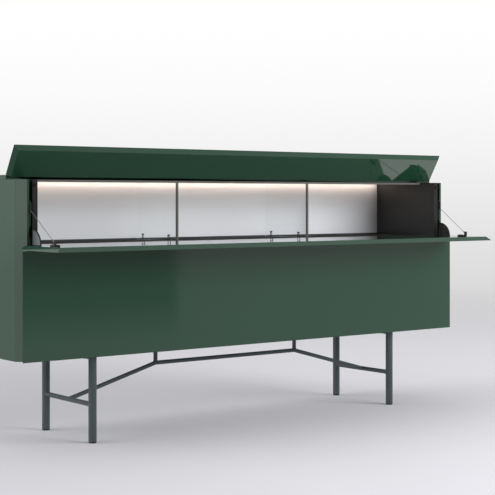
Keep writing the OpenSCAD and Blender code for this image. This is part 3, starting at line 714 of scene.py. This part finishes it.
def make_world(props):
    """Even light for matt surfaces, a pale background for the camera, and a room with a dim part for mirrors.

    The background fades with a smooth step between its two heights. The rest is ramps and bands of direction,
    each mixed over those before it.
    """
    world = bpy.data.worlds.new("studio")
    world.use_nodes = True
    tree = world.node_tree
    tree.nodes.clear()
    direction = add(tree, "TexCoord").outputs["Generated"]
    x, y, height = add(tree, "SeparateXYZ", (direction,)).outputs
    forward = add(tree, "Math", (y, -1.0), operation="MULTIPLY")
    angle = add(tree, "Math", (x, forward), operation="ARCTAN2")
    path = add(tree, "LightPath").outputs

    fade = (height, *BACKDROP_HEIGHTS, *BACKDROP_SHARE)
    faded = add(tree, "MapRange", fade, interpolation_type="SMOOTHSTEP")
    share = add(tree, "Math", (faded, BACKDROP_LEAST), operation="MAXIMUM")
    tone = add(tree, "Mix", {0: share, 6: linear("#000004"), 7: linear("#FFFFFF")}, data_type="RGBA")
    plain = add(tree, "Background", (tone, 1.0))

    turn, edge = math.radians(BRIGHT_FROM), math.radians(0.2)
    right = add(tree, "MapRange", (angle, turn - edge, turn + edge))
    dim = add(tree, "MapRange", (height, *DIM_HEIGHTS, *DIM_LEVEL))
    room = add(tree, "Mix", {0: right, 2: dim, 3: BRIGHT_LEVEL})
    back = add(tree, "MapRange", (y, *BEHIND_FROM))
    behind = add(tree, "MapRange", (height, *ROOM_FOOT, *BEHIND_LEVEL))
    room = add(tree, "Mix", {0: back, 2: room, 3: behind})
    window = add(tree, "MapRange", (height, *ROOM_FOOT, *WINDOW_LEVEL))
    room = add(tree, "Mix", {0: band(tree, angle, *WINDOW_ANGLES), 2: room, 3: window})
    lifted = add(tree, "Math", (height,), operation="ARCSINE")
    across, upright = band(tree, angle, *LAMP_ANGLES), band(tree, lifted, *LAMP_HEIGHTS)
    lamp = add(tree, "Math", (across, upright), operation="MULTIPLY")
    room = add(tree, "Mix", {0: lamp, 2: room, 3: LAMP_LEVEL})
    mirrored = add(tree, "Background", (WHITE, room))

    above = add(tree, "MapRange", (height, 0.0, 1.0, *(level * props.sky for level in SKY_LEVEL)))
    aside = add(tree, "VectorMath", (direction, LEFT_LIGHT), operation="DOT_PRODUCT").outputs["Value"]
    left = add(tree, "MapRange", (aside, *LEFT_SPREAD, 0.0, LEFT_LEVEL * props.sky))
    even = add(tree, "Background", (WHITE, add(tree, "Math", (above, left), operation="ADD")))

    mirrors = add(tree, "Math", (path["Is Glossy Ray"], path["Is Transmission Ray"]), operation="MAXIMUM")
    unseen = add(tree, "MixShader", (mirrors, even, mirrored))
    seen = add(tree, "MixShader", (path["Is Camera Ray"], unseen, plain))
    add(tree, "OutputWorld", {"Surface": seen})
    return world


def floor_material(props):
    """Matt painted floor: it keeps the shadow and fades into the background.

    Glossy rays see the levels of the room's floor instead, each zone mixed over those before it. A zone's
    edge is square to an axis, but the bright zone's is where x times cosine plus y times sine is constant.
    """
    material, tree, place = begin("painted_floor_matt")
    grain = add(tree, "TexNoise", {"Vector": place, "Scale": 2.0, "Detail": 3.0})
    shades = {0: grain, 6: scaled(props.floor, 0.98), 7: scaled(props.floor, 1.02)}
    matt = add(tree, "BsdfDiffuse", (add(tree, "Mix", shades, data_type="RGBA"),))

    x, y, _ = add(tree, "SeparateXYZ", (place,)).outputs
    turn, edge = math.radians(BRIGHT_FROM), 0.02
    slant = (math.cos(turn), math.sin(turn), 0.0)
    across = add(tree, "VectorMath", (place, slant), operation="DOT_PRODUCT").outputs["Value"]
    right = add(tree, "MapRange", (across, BRIGHT_FLOOR_FROM - edge, BRIGHT_FLOOR_FROM + edge))
    dim = add(tree, "MapRange", (y, *FAR_FLOOR, *FAR_FLOOR_LEVEL))
    far = add(tree, "Mix", {0: right, 2: dim, 3: BRIGHT_FLOOR_LEVEL})
    near = add(tree, "MapRange", (x, NEAR_BRIGHT_FROM - edge, NEAR_BRIGHT_FROM + edge, *NEAR_FLOOR_LEVEL))
    close = add(tree, "MapRange", (y, NEAR_FLOOR_FROM - 0.1, NEAR_FLOOR_FROM + 0.1))
    level = add(tree, "Mix", {0: close, 2: far, 3: near})
    left = add(tree, "MapRange", (x, *LEFT_FLOOR, 1.0, 0.0))
    level = add(tree, "Mix", {0: left, 2: level, 3: WINDOW_LEVEL[0]})
    behind = add(tree, "MapRange", (y, *BEHIND_FLOOR))
    level = add(tree, "Mix", {0: behind, 2: level, 3: BEHIND_LEVEL[0]})
    shown = add(tree, "Emission", (WHITE, level))

    path = add(tree, "LightPath").outputs
    distance = add(tree, "VectorMath", (place,), operation="LENGTH").outputs["Value"]
    faded = add(tree, "MapRange", (distance, *FADE))
    hidden = add(tree, "Math", (faded, path["Is Camera Ray"]), operation="MULTIPLY")
    clear = add(tree, "BsdfTransparent")
    solid = add(tree, "MixShader", (path["Is Glossy Ray"], matt, shown))
    add(tree, "OutputMaterial", {"Surface": add(tree, "MixShader", (hidden, solid, clear))})
    return material


def make_floor(scene, props):
    """A wide round floor: rings of points round the cabinet at its foot, with faces that look up."""
    radius = np.array(FLOOR_RINGS)[:, None]
    angle = circle(96)
    points = np.zeros((len(radius), len(angle), 3))
    points[..., 0] = radius * np.cos(angle)
    points[..., 1] = radius * np.sin(angle)
    index = np.arange(points[..., 0].size).reshape(points.shape[:2])
    near, far = index[:-1], index[1:]
    quads = np.stack([near, far, np.roll(far, -1, axis=1), np.roll(near, -1, axis=1)], axis=-1)
    mesh = bpy.data.meshes.new("floor")
    mesh.from_pydata(points.reshape(-1, 3), [], quads.reshape(-1, 4).tolist() + [index[0].tolist()])
    mesh.materials.append(floor_material(props))
    floor = bpy.data.objects.new("floor", mesh)
    scene.collection.objects.link(floor)


def make_lamp(scene, props):
    """One large soft box in front and to the right, which the even light fills and no reflection shows."""
    data = bpy.data.lights.new("soft_box", "AREA")
    data.shape = "RECTANGLE"
    data.size, data.size_y = SOFT_BOX_SIZE
    data.energy = props.key * math.pi * data.size * data.size_y
    lamp = bpy.data.objects.new("soft_box", data)
    lamp.location = SOFT_BOX_PLACE
    aim = Vector(SOFT_BOX_AIM) - Vector(SOFT_BOX_PLACE)
    lamp.rotation_euler = aim.to_track_quat("-Z", "Y").to_euler()
    lamp.visible_camera = False
    lamp.visible_glossy = False
    scene.collection.objects.link(lamp)


class BUFFET_OT_camera_and_stage(bpy.types.Operator):
    """Make the camera, the floor, the surroundings and the lamp"""

    bl_idname = "buffet.camera_and_stage"
    bl_label = "Camera and stage"

    def execute(self, context):
        scene = context.scene
        props = scene.buffet_stage
        view = bpy.data.cameras.new("camera")
        view.sensor_width = CAMERA_SENSOR
        view.lens = CAMERA_LENS
        view.shift_y = CAMERA_SHIFT
        camera = bpy.data.objects.new("camera", view)
        camera.location = CAMERA_PLACE
        camera.rotation_euler = (math.radians(90), 0, -math.radians(CAMERA_TURN))
        scene.collection.objects.link(camera)
        scene.camera = camera
        scene.view_settings.view_transform = "Standard"
        scene.world = make_world(props)
        make_floor(scene, props)
        make_lamp(scene, props)
        return {"FINISHED"}


# Pieces of the cabinet


class BUFFET_OT_stays(bpy.types.Operator):
    """Make the two soft-close stays: wire rope, damper, head and bracket"""

    bl_idname = "buffet.stays"
    bl_label = "Stays"

    def execute(self, context):
        for end, inward in zip(ENDS, (1, -1)):
            self.rope(end)
            self.damper(end, inward)
            self.head(end)
        self.brackets()
        return {"FINISHED"}

    def rope(self, name):
        """Six strands wound once every 12 mm round a core, from the damper's head to the bracket."""
        start, end = rod_ends(f"cable_{name}")
        u, v, w = axes_of(end - start)
        length = float(np.linalg.norm(end - start))
        lay, strand, wound = 12 * MM, 0.34 * MM, 0.66 * MM
        along = np.linspace(0, length, math.ceil(length / MM))
        parts = []
        for turn in circle(6):
            centre = start + along[:, None] * w + wound * spokes(2 * math.pi * along / lay + turn, u, v)
            parts.append(ring_part(centre[:, None] + strand * spokes(circle(6), u, v)))
        parts.append(trimmed_tube(start, end, strand, around=6))
        piece = make_piece(f"stay_rope_{name}", parts, "rope", [f"cable_{name}"], body=None)
        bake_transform(piece)
        ferrule = MM * np.array([(0.4, 0.0), (1.9, 0.0), (2.1, 0.4), (2.1, 7.0), (1.5, 8.0)])
        make_piece(f"stay_ferrule_{name}", [turned(ferrule, end - MM * w, -w, 24)], "steel", body=FLAP)

    def damper(self, name, inward):
        """A flat extrusion with two grooves in its face, between black caps and behind a black strip."""
        low, high = box_of(f"damper_{name}")
        cap, strip, chamfer = 5 * MM, 1.2 * MM, 0.6 * MM
        groove, lip = 0.7 * MM, 0.9 * MM
        foot = low[0] if inward > 0 else high[0]
        thick, deep, _ = high - low
        outline = [(0, strip), (thick, strip)]
        for middle in (0.28 * deep, 0.72 * deep):
            for reach, sink in ((-lip, 0), (-lip, groove), (lip, groove), (lip, 0)):
                outline.append((thick - sink, middle + reach))
        outline += [(thick, deep - chamfer), (thick - chamfer, deep), (0, deep)]
        x, y = np.array(outline).T
        below, above = low[2] + cap, high[2] - cap
        rings = np.zeros((2, len(outline), 3))
        rings[..., 0] = foot + inward * x
        rings[..., 1] = low[1] + y
        rings[..., 2] = [[below], [above]]
        make_piece(f"damper_body_{name}", [ring_part(rings)], "aluminium", [f"damper_{name}"])
        ends = [
            rounded_block(low, (*high[:2], below), 1.2 * MM, 0.8 * MM),
            rounded_block((*low[:2], above), high, 1.2 * MM, 0.8 * MM),
            rounded_block((*low[:2], below), (high[0], low[1] + strip, above), 0.5 * MM, 0.3 * MM),
        ]
        make_piece(f"damper_caps_{name}", ends, "black")

    def head(self, name):
        """A rounded block with a steel nozzle where the rope leaves it."""
        node = f"damper_head_{name}"
        block = rounded_block(*box_of(node), 1.5 * MM, 1.2 * MM)
        make_piece(f"damper_nose_{name}", [block], "black", [node])
        start, end = rod_ends(f"cable_{name}")
        nozzle = MM * np.array([(1.1, -2.0), (1.7, -2.0), (1.7, -0.4), (1.4, 0.0), (1.1, 0.0)])
        make_piece(f"damper_nozzle_{name}", [turned(nozzle, start, end - start, 24)], "steel")

    def brackets(self):
        """A flat foot with two screws and an upright plate that holds the rope's end."""
        parts, screws = [], []
        foot_top, plate = BAR_FLOOR + 6 * MM, 4.5 * MM
        for low, high in shells_of("cable_brackets"):
            outer = low[0] if low[0] < 0 else high[0] - plate
            parts.append(rounded_block(low, (*high[:2], foot_top), 3 * MM, 1.2 * MM))
            post = (outer, low[1], foot_top - 2 * MM), (outer + plate, low[1] + 14 * MM, high[2])
            parts.append(rounded_block(*post, 1.5 * MM, 1 * MM))
            for back in (21 * MM, 33 * MM):
                spot = ((low[0] + high[0]) / 2, low[1] + back, foot_top - 0.3 * MM)
                screws.append(screw_head(spot, (0, 0, 1), 3.6 * MM))
        make_piece("stay_brackets", parts, "black", ["cable_brackets"], FLAP)
        make_piece("stay_bracket_screws", screws, "steel", body=FLAP)


class BUFFET_OT_lacquered_panels(bpy.types.Operator):
    """Lacquer the outer panels, the lid, the flap and the lower front"""

    bl_idname = "buffet.lacquered_panels"
    bl_label = "Lacquered panels"

    def execute(self, context):
        width = context.scene.buffet_lacquer.arris
        for node in ("side_left", "side_right", "fixed_top", "bottom_panel", "middle_panel", "back_panel"):
            eased_copy(node, f"{node}_lacquered", width, "lacquer")
        for node, body in (("bar_flap", FLAP), ("lid", LID), ("lower_front", LOWER_FRONT)):
            eased_copy(node, f"{node}_lacquered", width, "lacquer", body)
        return {"FINISHED"}


class BUFFET_OT_inner_boards(bpy.types.Operator):
    """Finish the inner sides, partitions, shelves, floor inlay and inner back"""

    bl_idname = "buffet.inner_boards"
    bl_label = "Inner boards"

    def execute(self, context):
        width = context.scene.buffet_interior.arris
        for node in ("inner_side_left", "inner_side_right", "partition_left", "partition_right", "shelves"):
            eased_copy(node, f"{node}_melamine", width, "board")
        eased_copy("bar_floor_inlay", "bar_floor_leather", width, "leather")
        eased_copy("bar_back_panel", "bar_back_mirror", width, "mirror")
        return {"FINISHED"}


class BUFFET_OT_dividers(bpy.types.Operator):
    """Make the glass dividers with their posts, rail and clamps"""

    bl_idname = "buffet.dividers"
    bl_label = "Dividers"

    def execute(self, context):
        for end in ENDS:
            eased_copy(f"divider_post_{end}", f"post_{end}", 0.6 * MM, "profile")
            eased_copy(f"divider_glass_{end}", f"glass_{end}", 0.5 * MM, "glass")
        eased_copy("front_rail", "front_rail_coated", 0.6 * MM, "profile")
        self.clamps()
        self.mirror_foot()
        return {"FINISHED"}

    def mirror_foot(self):
        """A low dark profile in which the mirror stands: one length in each bay, between the dividers."""
        low, high = box_of("bar_back_panel")
        face = low[1]
        tall, deep, play = 5 * MM, 3 * MM, 0.5 * MM
        stops = [low[0]]
        for end in ENDS:
            stops.extend(edge[0] for edge in box_of(f"divider_glass_{end}"))
        stops.append(high[0])
        parts = []
        for start, stop in zip(stops[::2], stops[1::2]):
            ends = (start + play, face - deep, BAR_FLOOR), (stop - play, face, BAR_FLOOR + tall)
            parts.append(rounded_block(*ends, 0.8 * MM, 0.4 * MM, axis=0))
        make_piece("mirror_foot_profile", parts, "coat")

    def clamps(self):
        """Each clamp: a pin through the glass between two domed discs, each on a foot."""
        parts = []
        disc, pin, foot, beside_glass = 3.5 * MM, 2.5 * MM, 1.3 * MM, 4.05 * MM
        for low, high in shells_of("glass_clamps"):
            x, y, _ = (low + high) / 2
            z = high[2] - 4.5 * MM
            parts.append(trimmed_tube((low[0] + MM, y, z), (high[0] - MM, y, z), pin, around=24))
            for face, outer in ((-1, low[0]), (1, high[0])):
                inner = x + face * beside_glass
                thick = abs(outer - inner)
                profile = [
                    (disc - 0.3 * MM, 0.0),
                    (disc, 0.3 * MM),
                    (disc, thick - 1.0 * MM),
                    (disc - 0.4 * MM, thick - 0.4 * MM),
                    (disc - 1.3 * MM, thick),
                    (1.9 * MM, thick),
                    (1.8 * MM, thick - 1.2 * MM),
                ]
                parts.append(turned(profile, (inner, y, z), (face, 0, 0), 36, flats=(5, 6)))
                near, far = sorted((inner, outer - face * 0.4 * MM))
                block = (near, y - foot, BAR_FLOOR), (far, y + foot, z)
                parts.append(rounded_block(*block, 0.6 * MM, 0.3 * MM))
        make_piece("glass_clamp_discs", parts, "dark_steel", ["glass_clamps"])


class BUFFET_OT_lighting(bpy.types.Operator):
    """Finish the light channel, strip, diffuser, power supply and wire"""

    bl_idname = "buffet.lighting"
    bl_label = "Lighting"

    def execute(self, context):
        eased_copy("led_channel", "light_channel", 0.2 * MM, "channel")
        dress("led_strip", "strip")
        eased_copy("led_diffuser", "light_diffuser", 0.3 * MM, "diffuser")
        self.power_supply()
        self.wire()
        return {"FINISHED"}

    def power_supply(self):
        """A rounded case with nine ribs across its top."""
        low, high = box_of("led_power_supply")
        aside, margin = 20 * MM, 6 * MM
        sunk, proud = 0.5 * MM, 0.8 * MM
        parts = [rounded_block(low, high, 3 * MM, 2 * MM, axis=0)]
        for x in np.linspace(low[0] + aside, high[0] - aside, 9):
            rib_low = (x - MM, low[1] + margin, high[2] - sunk)
            rib_high = (x + MM, high[1] - margin, high[2] + proud)
            parts.append(rounded_block(rib_low, rib_high, 0.8 * MM, 0.4 * MM))
        make_piece("power_supply_case", parts, "white", ["led_power_supply"])

    def wire(self):
        """A round wire level from the channel, through a bend of 6 mm, and down to the power supply."""
        low, high = box_of("led_wire")
        radius = radius_of("led_wire")
        x = (low[0] + high[0]) / 2
        y_end, z_end = high[1] - radius, high[2] - radius
        bend = 6 * MM
        turn = np.radians(np.linspace(0, 90, 9))
        arc_y, arc_z = y_end - bend + bend * np.sin(turn), z_end - bend + bend * np.cos(turn)
        arc = np.stack([np.full(len(turn), x), arc_y, arc_z], axis=1)
        path = np.vstack([[x, low[1], z_end], arc, [x, y_end, low[2]]])
        run = np.gradient(path, axis=0)
        run /= np.linalg.norm(run, axis=1)[:, None]
        across = np.array([1.0, 0.0, 0.0])
        up = np.cross(run, across)[:, None]
        rings = path[:, None] + radius * spokes(circle(16), across, up)
        make_piece("light_wire", [ring_part(rings)], "pvc", ["led_wire"])


class BUFFET_OT_flap_gear(bpy.types.Operator):
    """Finish the quadrant plates, their housings and their screws"""

    bl_idname = "buffet.flap_gear"
    bl_label = "Flap gear"

    def execute(self, context):
        eased_copy("flap_quadrants", "quadrant_plates", 0.5 * MM, "black", FLAP)
        eased_copy("flap_housings", "gear_housings", 0.4 * MM, "black")
        screws, liners = [], []
        for low, high in shells_of("flap_quadrants"):
            inward = 1 if low[0] < 0 else -1
            face, back = (high[0], low[0]) if inward > 0 else (low[0], high[0])
            y, z = high[1], high[2] - QUADRANT
            for ahead, up in ((14 * MM, 11 * MM), (36 * MM, 11 * MM), (14 * MM, 33 * MM)):
                spot = (face - inward * 0.2 * MM, y - ahead, z + up)
                screws.append(screw_head(spot, (inward, 0, 0), 2.6 * MM))
            liners.append(self.liner(y, z, back, inward))
        make_piece("quadrant_screws", screws, "dark_steel", body=FLAP)
        make_piece("quadrant_liners", liners, "aluminium", body=FLAP)
        return {"FINISHED"}

    def liner(self, y, z, back, inward):
        """A thin quarter disc on a plate's outward face: the plate's outline drawn in by its rim."""
        rim, base = 2.2 * MM, 2 * MM
        reach = QUADRANT - rim
        turn = np.linspace(math.asin((base + rim) / reach), math.acos(rim / reach), 24)
        arc = np.stack([y - reach * np.cos(turn), z + reach * np.sin(turn)], axis=1)
        outline = np.vstack([arc, [y - rim, z + base + rim]])
        rings = np.zeros((2, len(outline), 3))
        rings[..., 0] = back + inward * np.array([-0.5 * MM, 0.2 * MM])[:, None]
        rings[..., 1:] = outline
        return ring_part(rings)


class BUFFET_OT_hinges(bpy.types.Operator):
    """Finish the pivot hinges, the lid hinges and all pins"""

    bl_idname = "buffet.hinges"
    bl_label = "Hinges"

    def execute(self, context):
        eased_copy("hinge_arms", "pivot_arms", 0.4 * MM, "steel")
        eased_copy("lid_hinge_bases", "lid_leaves_fixed", 0.25 * MM, "dark_steel", CABINET, 4 * MM)
        eased_copy("lid_hinge_leaves", "lid_leaves_moving", 0.25 * MM, "dark_steel", LID, 4 * MM)
        for node in ("flap_pins", "lid_hinge_pins", "lower_front_pins"):
            dress(node, "steel")
        return {"FINISHED"}


class BUFFET_OT_base(bpy.types.Operator):
    """Make the round-tube base with its welds, plates, screws and feet"""

    bl_idname = "buffet.base"
    bl_label = "Base"

    def execute(self, context):
        weld = context.scene.buffet_base.weld
        for end in ENDS:
            self.legs(end)
            self.crossbar(end, weld)
            eased_copy(f"top_rail_{end}", f"rail_{end}", 1.5 * MM, "coat")
        self.spine()
        self.uprights(weld)
        self.screws()
        self.feet()
        return {"FINISHED"}

    def legs(self, end):
        """A tube with a closed top: inner wall, foot's rounded rim and outer wall are one turned profile."""
        wall, cover, lip = 2 * MM, 4 * MM, 0.6 * MM
        for place in ("front", "rear"):
            node = f"leg_{place}_{end}"
            low, high = box_of(node)
            x, y, _ = middle_of(node)
            r = radius_of(node)
            bore, tall = r - wall, high[2] - low[2]
            profile = [
                (0.5 * bore, tall - cover),
                (bore, tall - cover),
                (bore, 0.0),
                (r - lip, 0.0),
                (r - 0.3 * lip, 0.3 * lip),
                (r, lip),
                (r, tall - lip),
                (r - lip, tall),
                (0.5 * r, tall),
            ]
            part = turned(profile, (x, y, low[2]), (0, 0, 1), 64)
            make_piece(f"{node}_tube", [part], "coat", [node])

    def crossbar(self, end, weld):
        """A level tube from leg to leg, cut to their round walls."""
        node = f"crossbar_{end}"
        x, _, z = middle_of(node)
        start, stop = ((x, middle_of(f"leg_{place}_{end}")[1], z) for place in ("front", "rear"))
        trim = onto_tube((0, 0, 1), radius_of(f"leg_front_{end}"), (0, 1, 0))
        part = trimmed_tube(start, stop, radius_of(node), trim, trim, weld)
        make_piece(f"{node}_tube", [part], "coat", [node])

    def spine(self):
        """A level middle tube and two sloping ones, mitred to it and cut to the crossbars' round walls."""
        radius = radius_of("spine_center", axis=2)
        _, y, z = middle_of("spine_center")
        bends, mitres = [], []
        for end, side, corner in zip(ENDS, (-1, 1), box_of("spine_center")):
            bar = f"crossbar_{end}"
            x, _, bar_level = middle_of(bar)
            foot = np.array([x, y, bar_level])
            bend = np.array([corner[0], y, z])
            rise = (bend - foot) / np.linalg.norm(bend - foot)
            mitre = rise - side * np.array([1.0, 0.0, 0.0])
            onto_bar = onto_tube((0, 1, 0), radius_of(bar), rise)
            part = trimmed_tube(foot, bend, radius, onto_bar, onto_plane(mitre, -rise))
            make_piece(f"spine_{end}_tube", [part], "coat", [f"spine_{end}"])
            bends.append(bend)
            mitres.append(onto_plane(mitre, (-side, 0, 0)))
        make_piece("spine_center_tube", [trimmed_tube(*bends, radius, *mitres)], "coat", ["spine_center"])

    def uprights(self, weld):
        """A short tube on each bend of the spine, under a plate with round corners."""
        parts = []
        spine = middle_of("spine_center")[2]
        radius = radius_of("spine_center", axis=2)
        trim = onto_tube((1, 0, 0), radius, (0, 0, 1))
        for low, high in shells_of("uprights"):
            x, y, _ = (low + high) / 2
            plate = high[2] - 3 * MM
            ends = (x, y, spine), (x, y, plate)
            parts.append(trimmed_tube(*ends, radius - 0.05 * MM, trim, weld=weld))
            parts.append(rounded_block((*low[:2], plate), high, 4 * MM, 0.6 * MM))
        make_piece("upright_tubes", parts, "coat", ["uprights"])

    def screws(self):
        """Round heads under the rails and plates, and their shanks."""
        parts = []
        for low, high in shells_of("frame_screws"):
            x, y, _ = (low + high) / 2
            seat = low[2] + 3 * MM
            parts.append(screw_head((x, y, seat), (0, 0, -1), (high[0] - low[0]) / 2))
            parts.append(trimmed_tube((x, y, seat), (x, y, high[2]), 2.5 * MM, around=24))
        make_piece("frame_screw_heads", parts, "steel", ["frame_screws"])

    def feet(self):
        """A pad with a bevelled sole, and above it a plug with a bevelled end that fills the leg's bore."""
        parts = []
        rim, bevel = 1.2 * MM, 0.35 * MM
        for low, high in shells_of("foot_pads"):
            x, y, _ = (low + high) / 2
            sole, tall = (high[0] - low[0]) / 2, high[2] - low[2]
            profile = [
                (0.6 * sole, 0.0),
                (sole - rim, 0.0),
                (sole - bevel, bevel),
                (sole, rim),
                (sole, 5 * MM),
                (sole - rim, 5 * MM),
                (sole - rim, tall - MM),
                (sole - 2 * MM, tall),
                (0.5 * sole, tall),
            ]
            parts.append(turned(profile, (x, y, low[2]), (0, 0, 1), 48))
        make_piece("foot_pads_moulded", parts, "rubber", ["foot_pads"])


class BUFFET_OT_fittings(bpy.types.Operator):
    """Finish the buffers, catches, shelf pins and cable grommet"""

    bl_idname = "buffet.fittings"
    bl_label = "Fittings"

    def execute(self, context):
        dress("buffers", "rubber")
        dress("door_catches", "black")
        dress("shelf_pins", "steel")
        self.grommet()
        return {"FINISHED"}

    def grommet(self):
        """A flanged ring whose rims are rounded: one closed profile carried round the outlet's axis."""
        low, high = box_of("cable_grommet")
        x, _, z = middle_of("cable_grommet")
        flange = radius_of("cable_grommet")
        wall, bore, depth = flange - 4 * MM, flange - 7 * MM, high[1] - low[1]
        rim, thick = 0.8 * MM, 3 * MM
        profile = [
            (bore, rim),
            (bore + rim, 0.0),
            (flange - rim, 0.0),
            (flange, rim),
            (flange, thick),
            (wall, thick),
            (wall, depth),
            (bore + 0.5 * MM, depth),
            (bore, depth - 0.5 * MM),
        ]
        radius, back = np.array(profile).T[..., None]
        angle = circle(64)
        rings = np.zeros((len(profile), len(angle), 3))
        rings[..., 0] = x + radius * np.cos(angle)
        rings[..., 1] = low[1] + back
        rings[..., 2] = z + radius * np.sin(angle)
        make_piece("cable_outlet_ring", [ring_part(rings, looped=True)], "black", ["cable_grommet"])


class BUFFET_PT_panel(bpy.types.Panel):
    """Buttons and sizes of the buffet cabinet's looks"""

    bl_idname = "BUFFET_PT_panel"
    bl_label = "Buffet cabinet"
    bl_space_type = "VIEW_3D"
    bl_region_type = "UI"
    bl_category = "Buffet cabinet"

    def draw(self, context):
        for attribute in PROPERTIES:
            group = getattr(context.scene, attribute)
            box = self.layout.box()
            for name in group.bl_rna.properties.keys():
                if name not in ("rna_type", "name"):
                    box.prop(group, name)
        for operator in OPERATORS:
            self.layout.operator(operator.bl_idname)


PROPERTIES = {
    "buffet_lacquer": LacquerProperties,
    "buffet_interior": InteriorProperties,
    "buffet_light": LightProperties,
    "buffet_base": BaseProperties,
    "buffet_stage": StageProperties,
}
OPERATORS = (
    BUFFET_OT_camera_and_stage,
    BUFFET_OT_stays,
    BUFFET_OT_lacquered_panels,
    BUFFET_OT_inner_boards,
    BUFFET_OT_dividers,
    BUFFET_OT_lighting,
    BUFFET_OT_flap_gear,
    BUFFET_OT_hinges,
    BUFFET_OT_base,
    BUFFET_OT_fittings,
)


def register():
    """Registers the sizes, the operators and the panel."""
    for attribute, group in PROPERTIES.items():
        bpy.utils.register_class(group)
        setattr(bpy.types.Scene, attribute, PointerProperty(type=group))
    for item in (*OPERATORS, BUFFET_PT_panel):
        bpy.utils.register_class(item)


def unregister():
    """Takes them away again."""
    for item in (BUFFET_PT_panel, *reversed(OPERATORS)):
        bpy.utils.unregister_class(item)
    for attribute, group in PROPERTIES.items():
        delattr(bpy.types.Scene, attribute)
        bpy.utils.unregister_class(group)


def main():
    """Makes everything in order."""
    register()
    FINISHES.update(make_finishes())
    for operator in OPERATORS:
        group, name = operator.bl_idname.split(".")
        getattr(getattr(bpy.ops, group), name)()


if __name__ == "__main__":
    main()
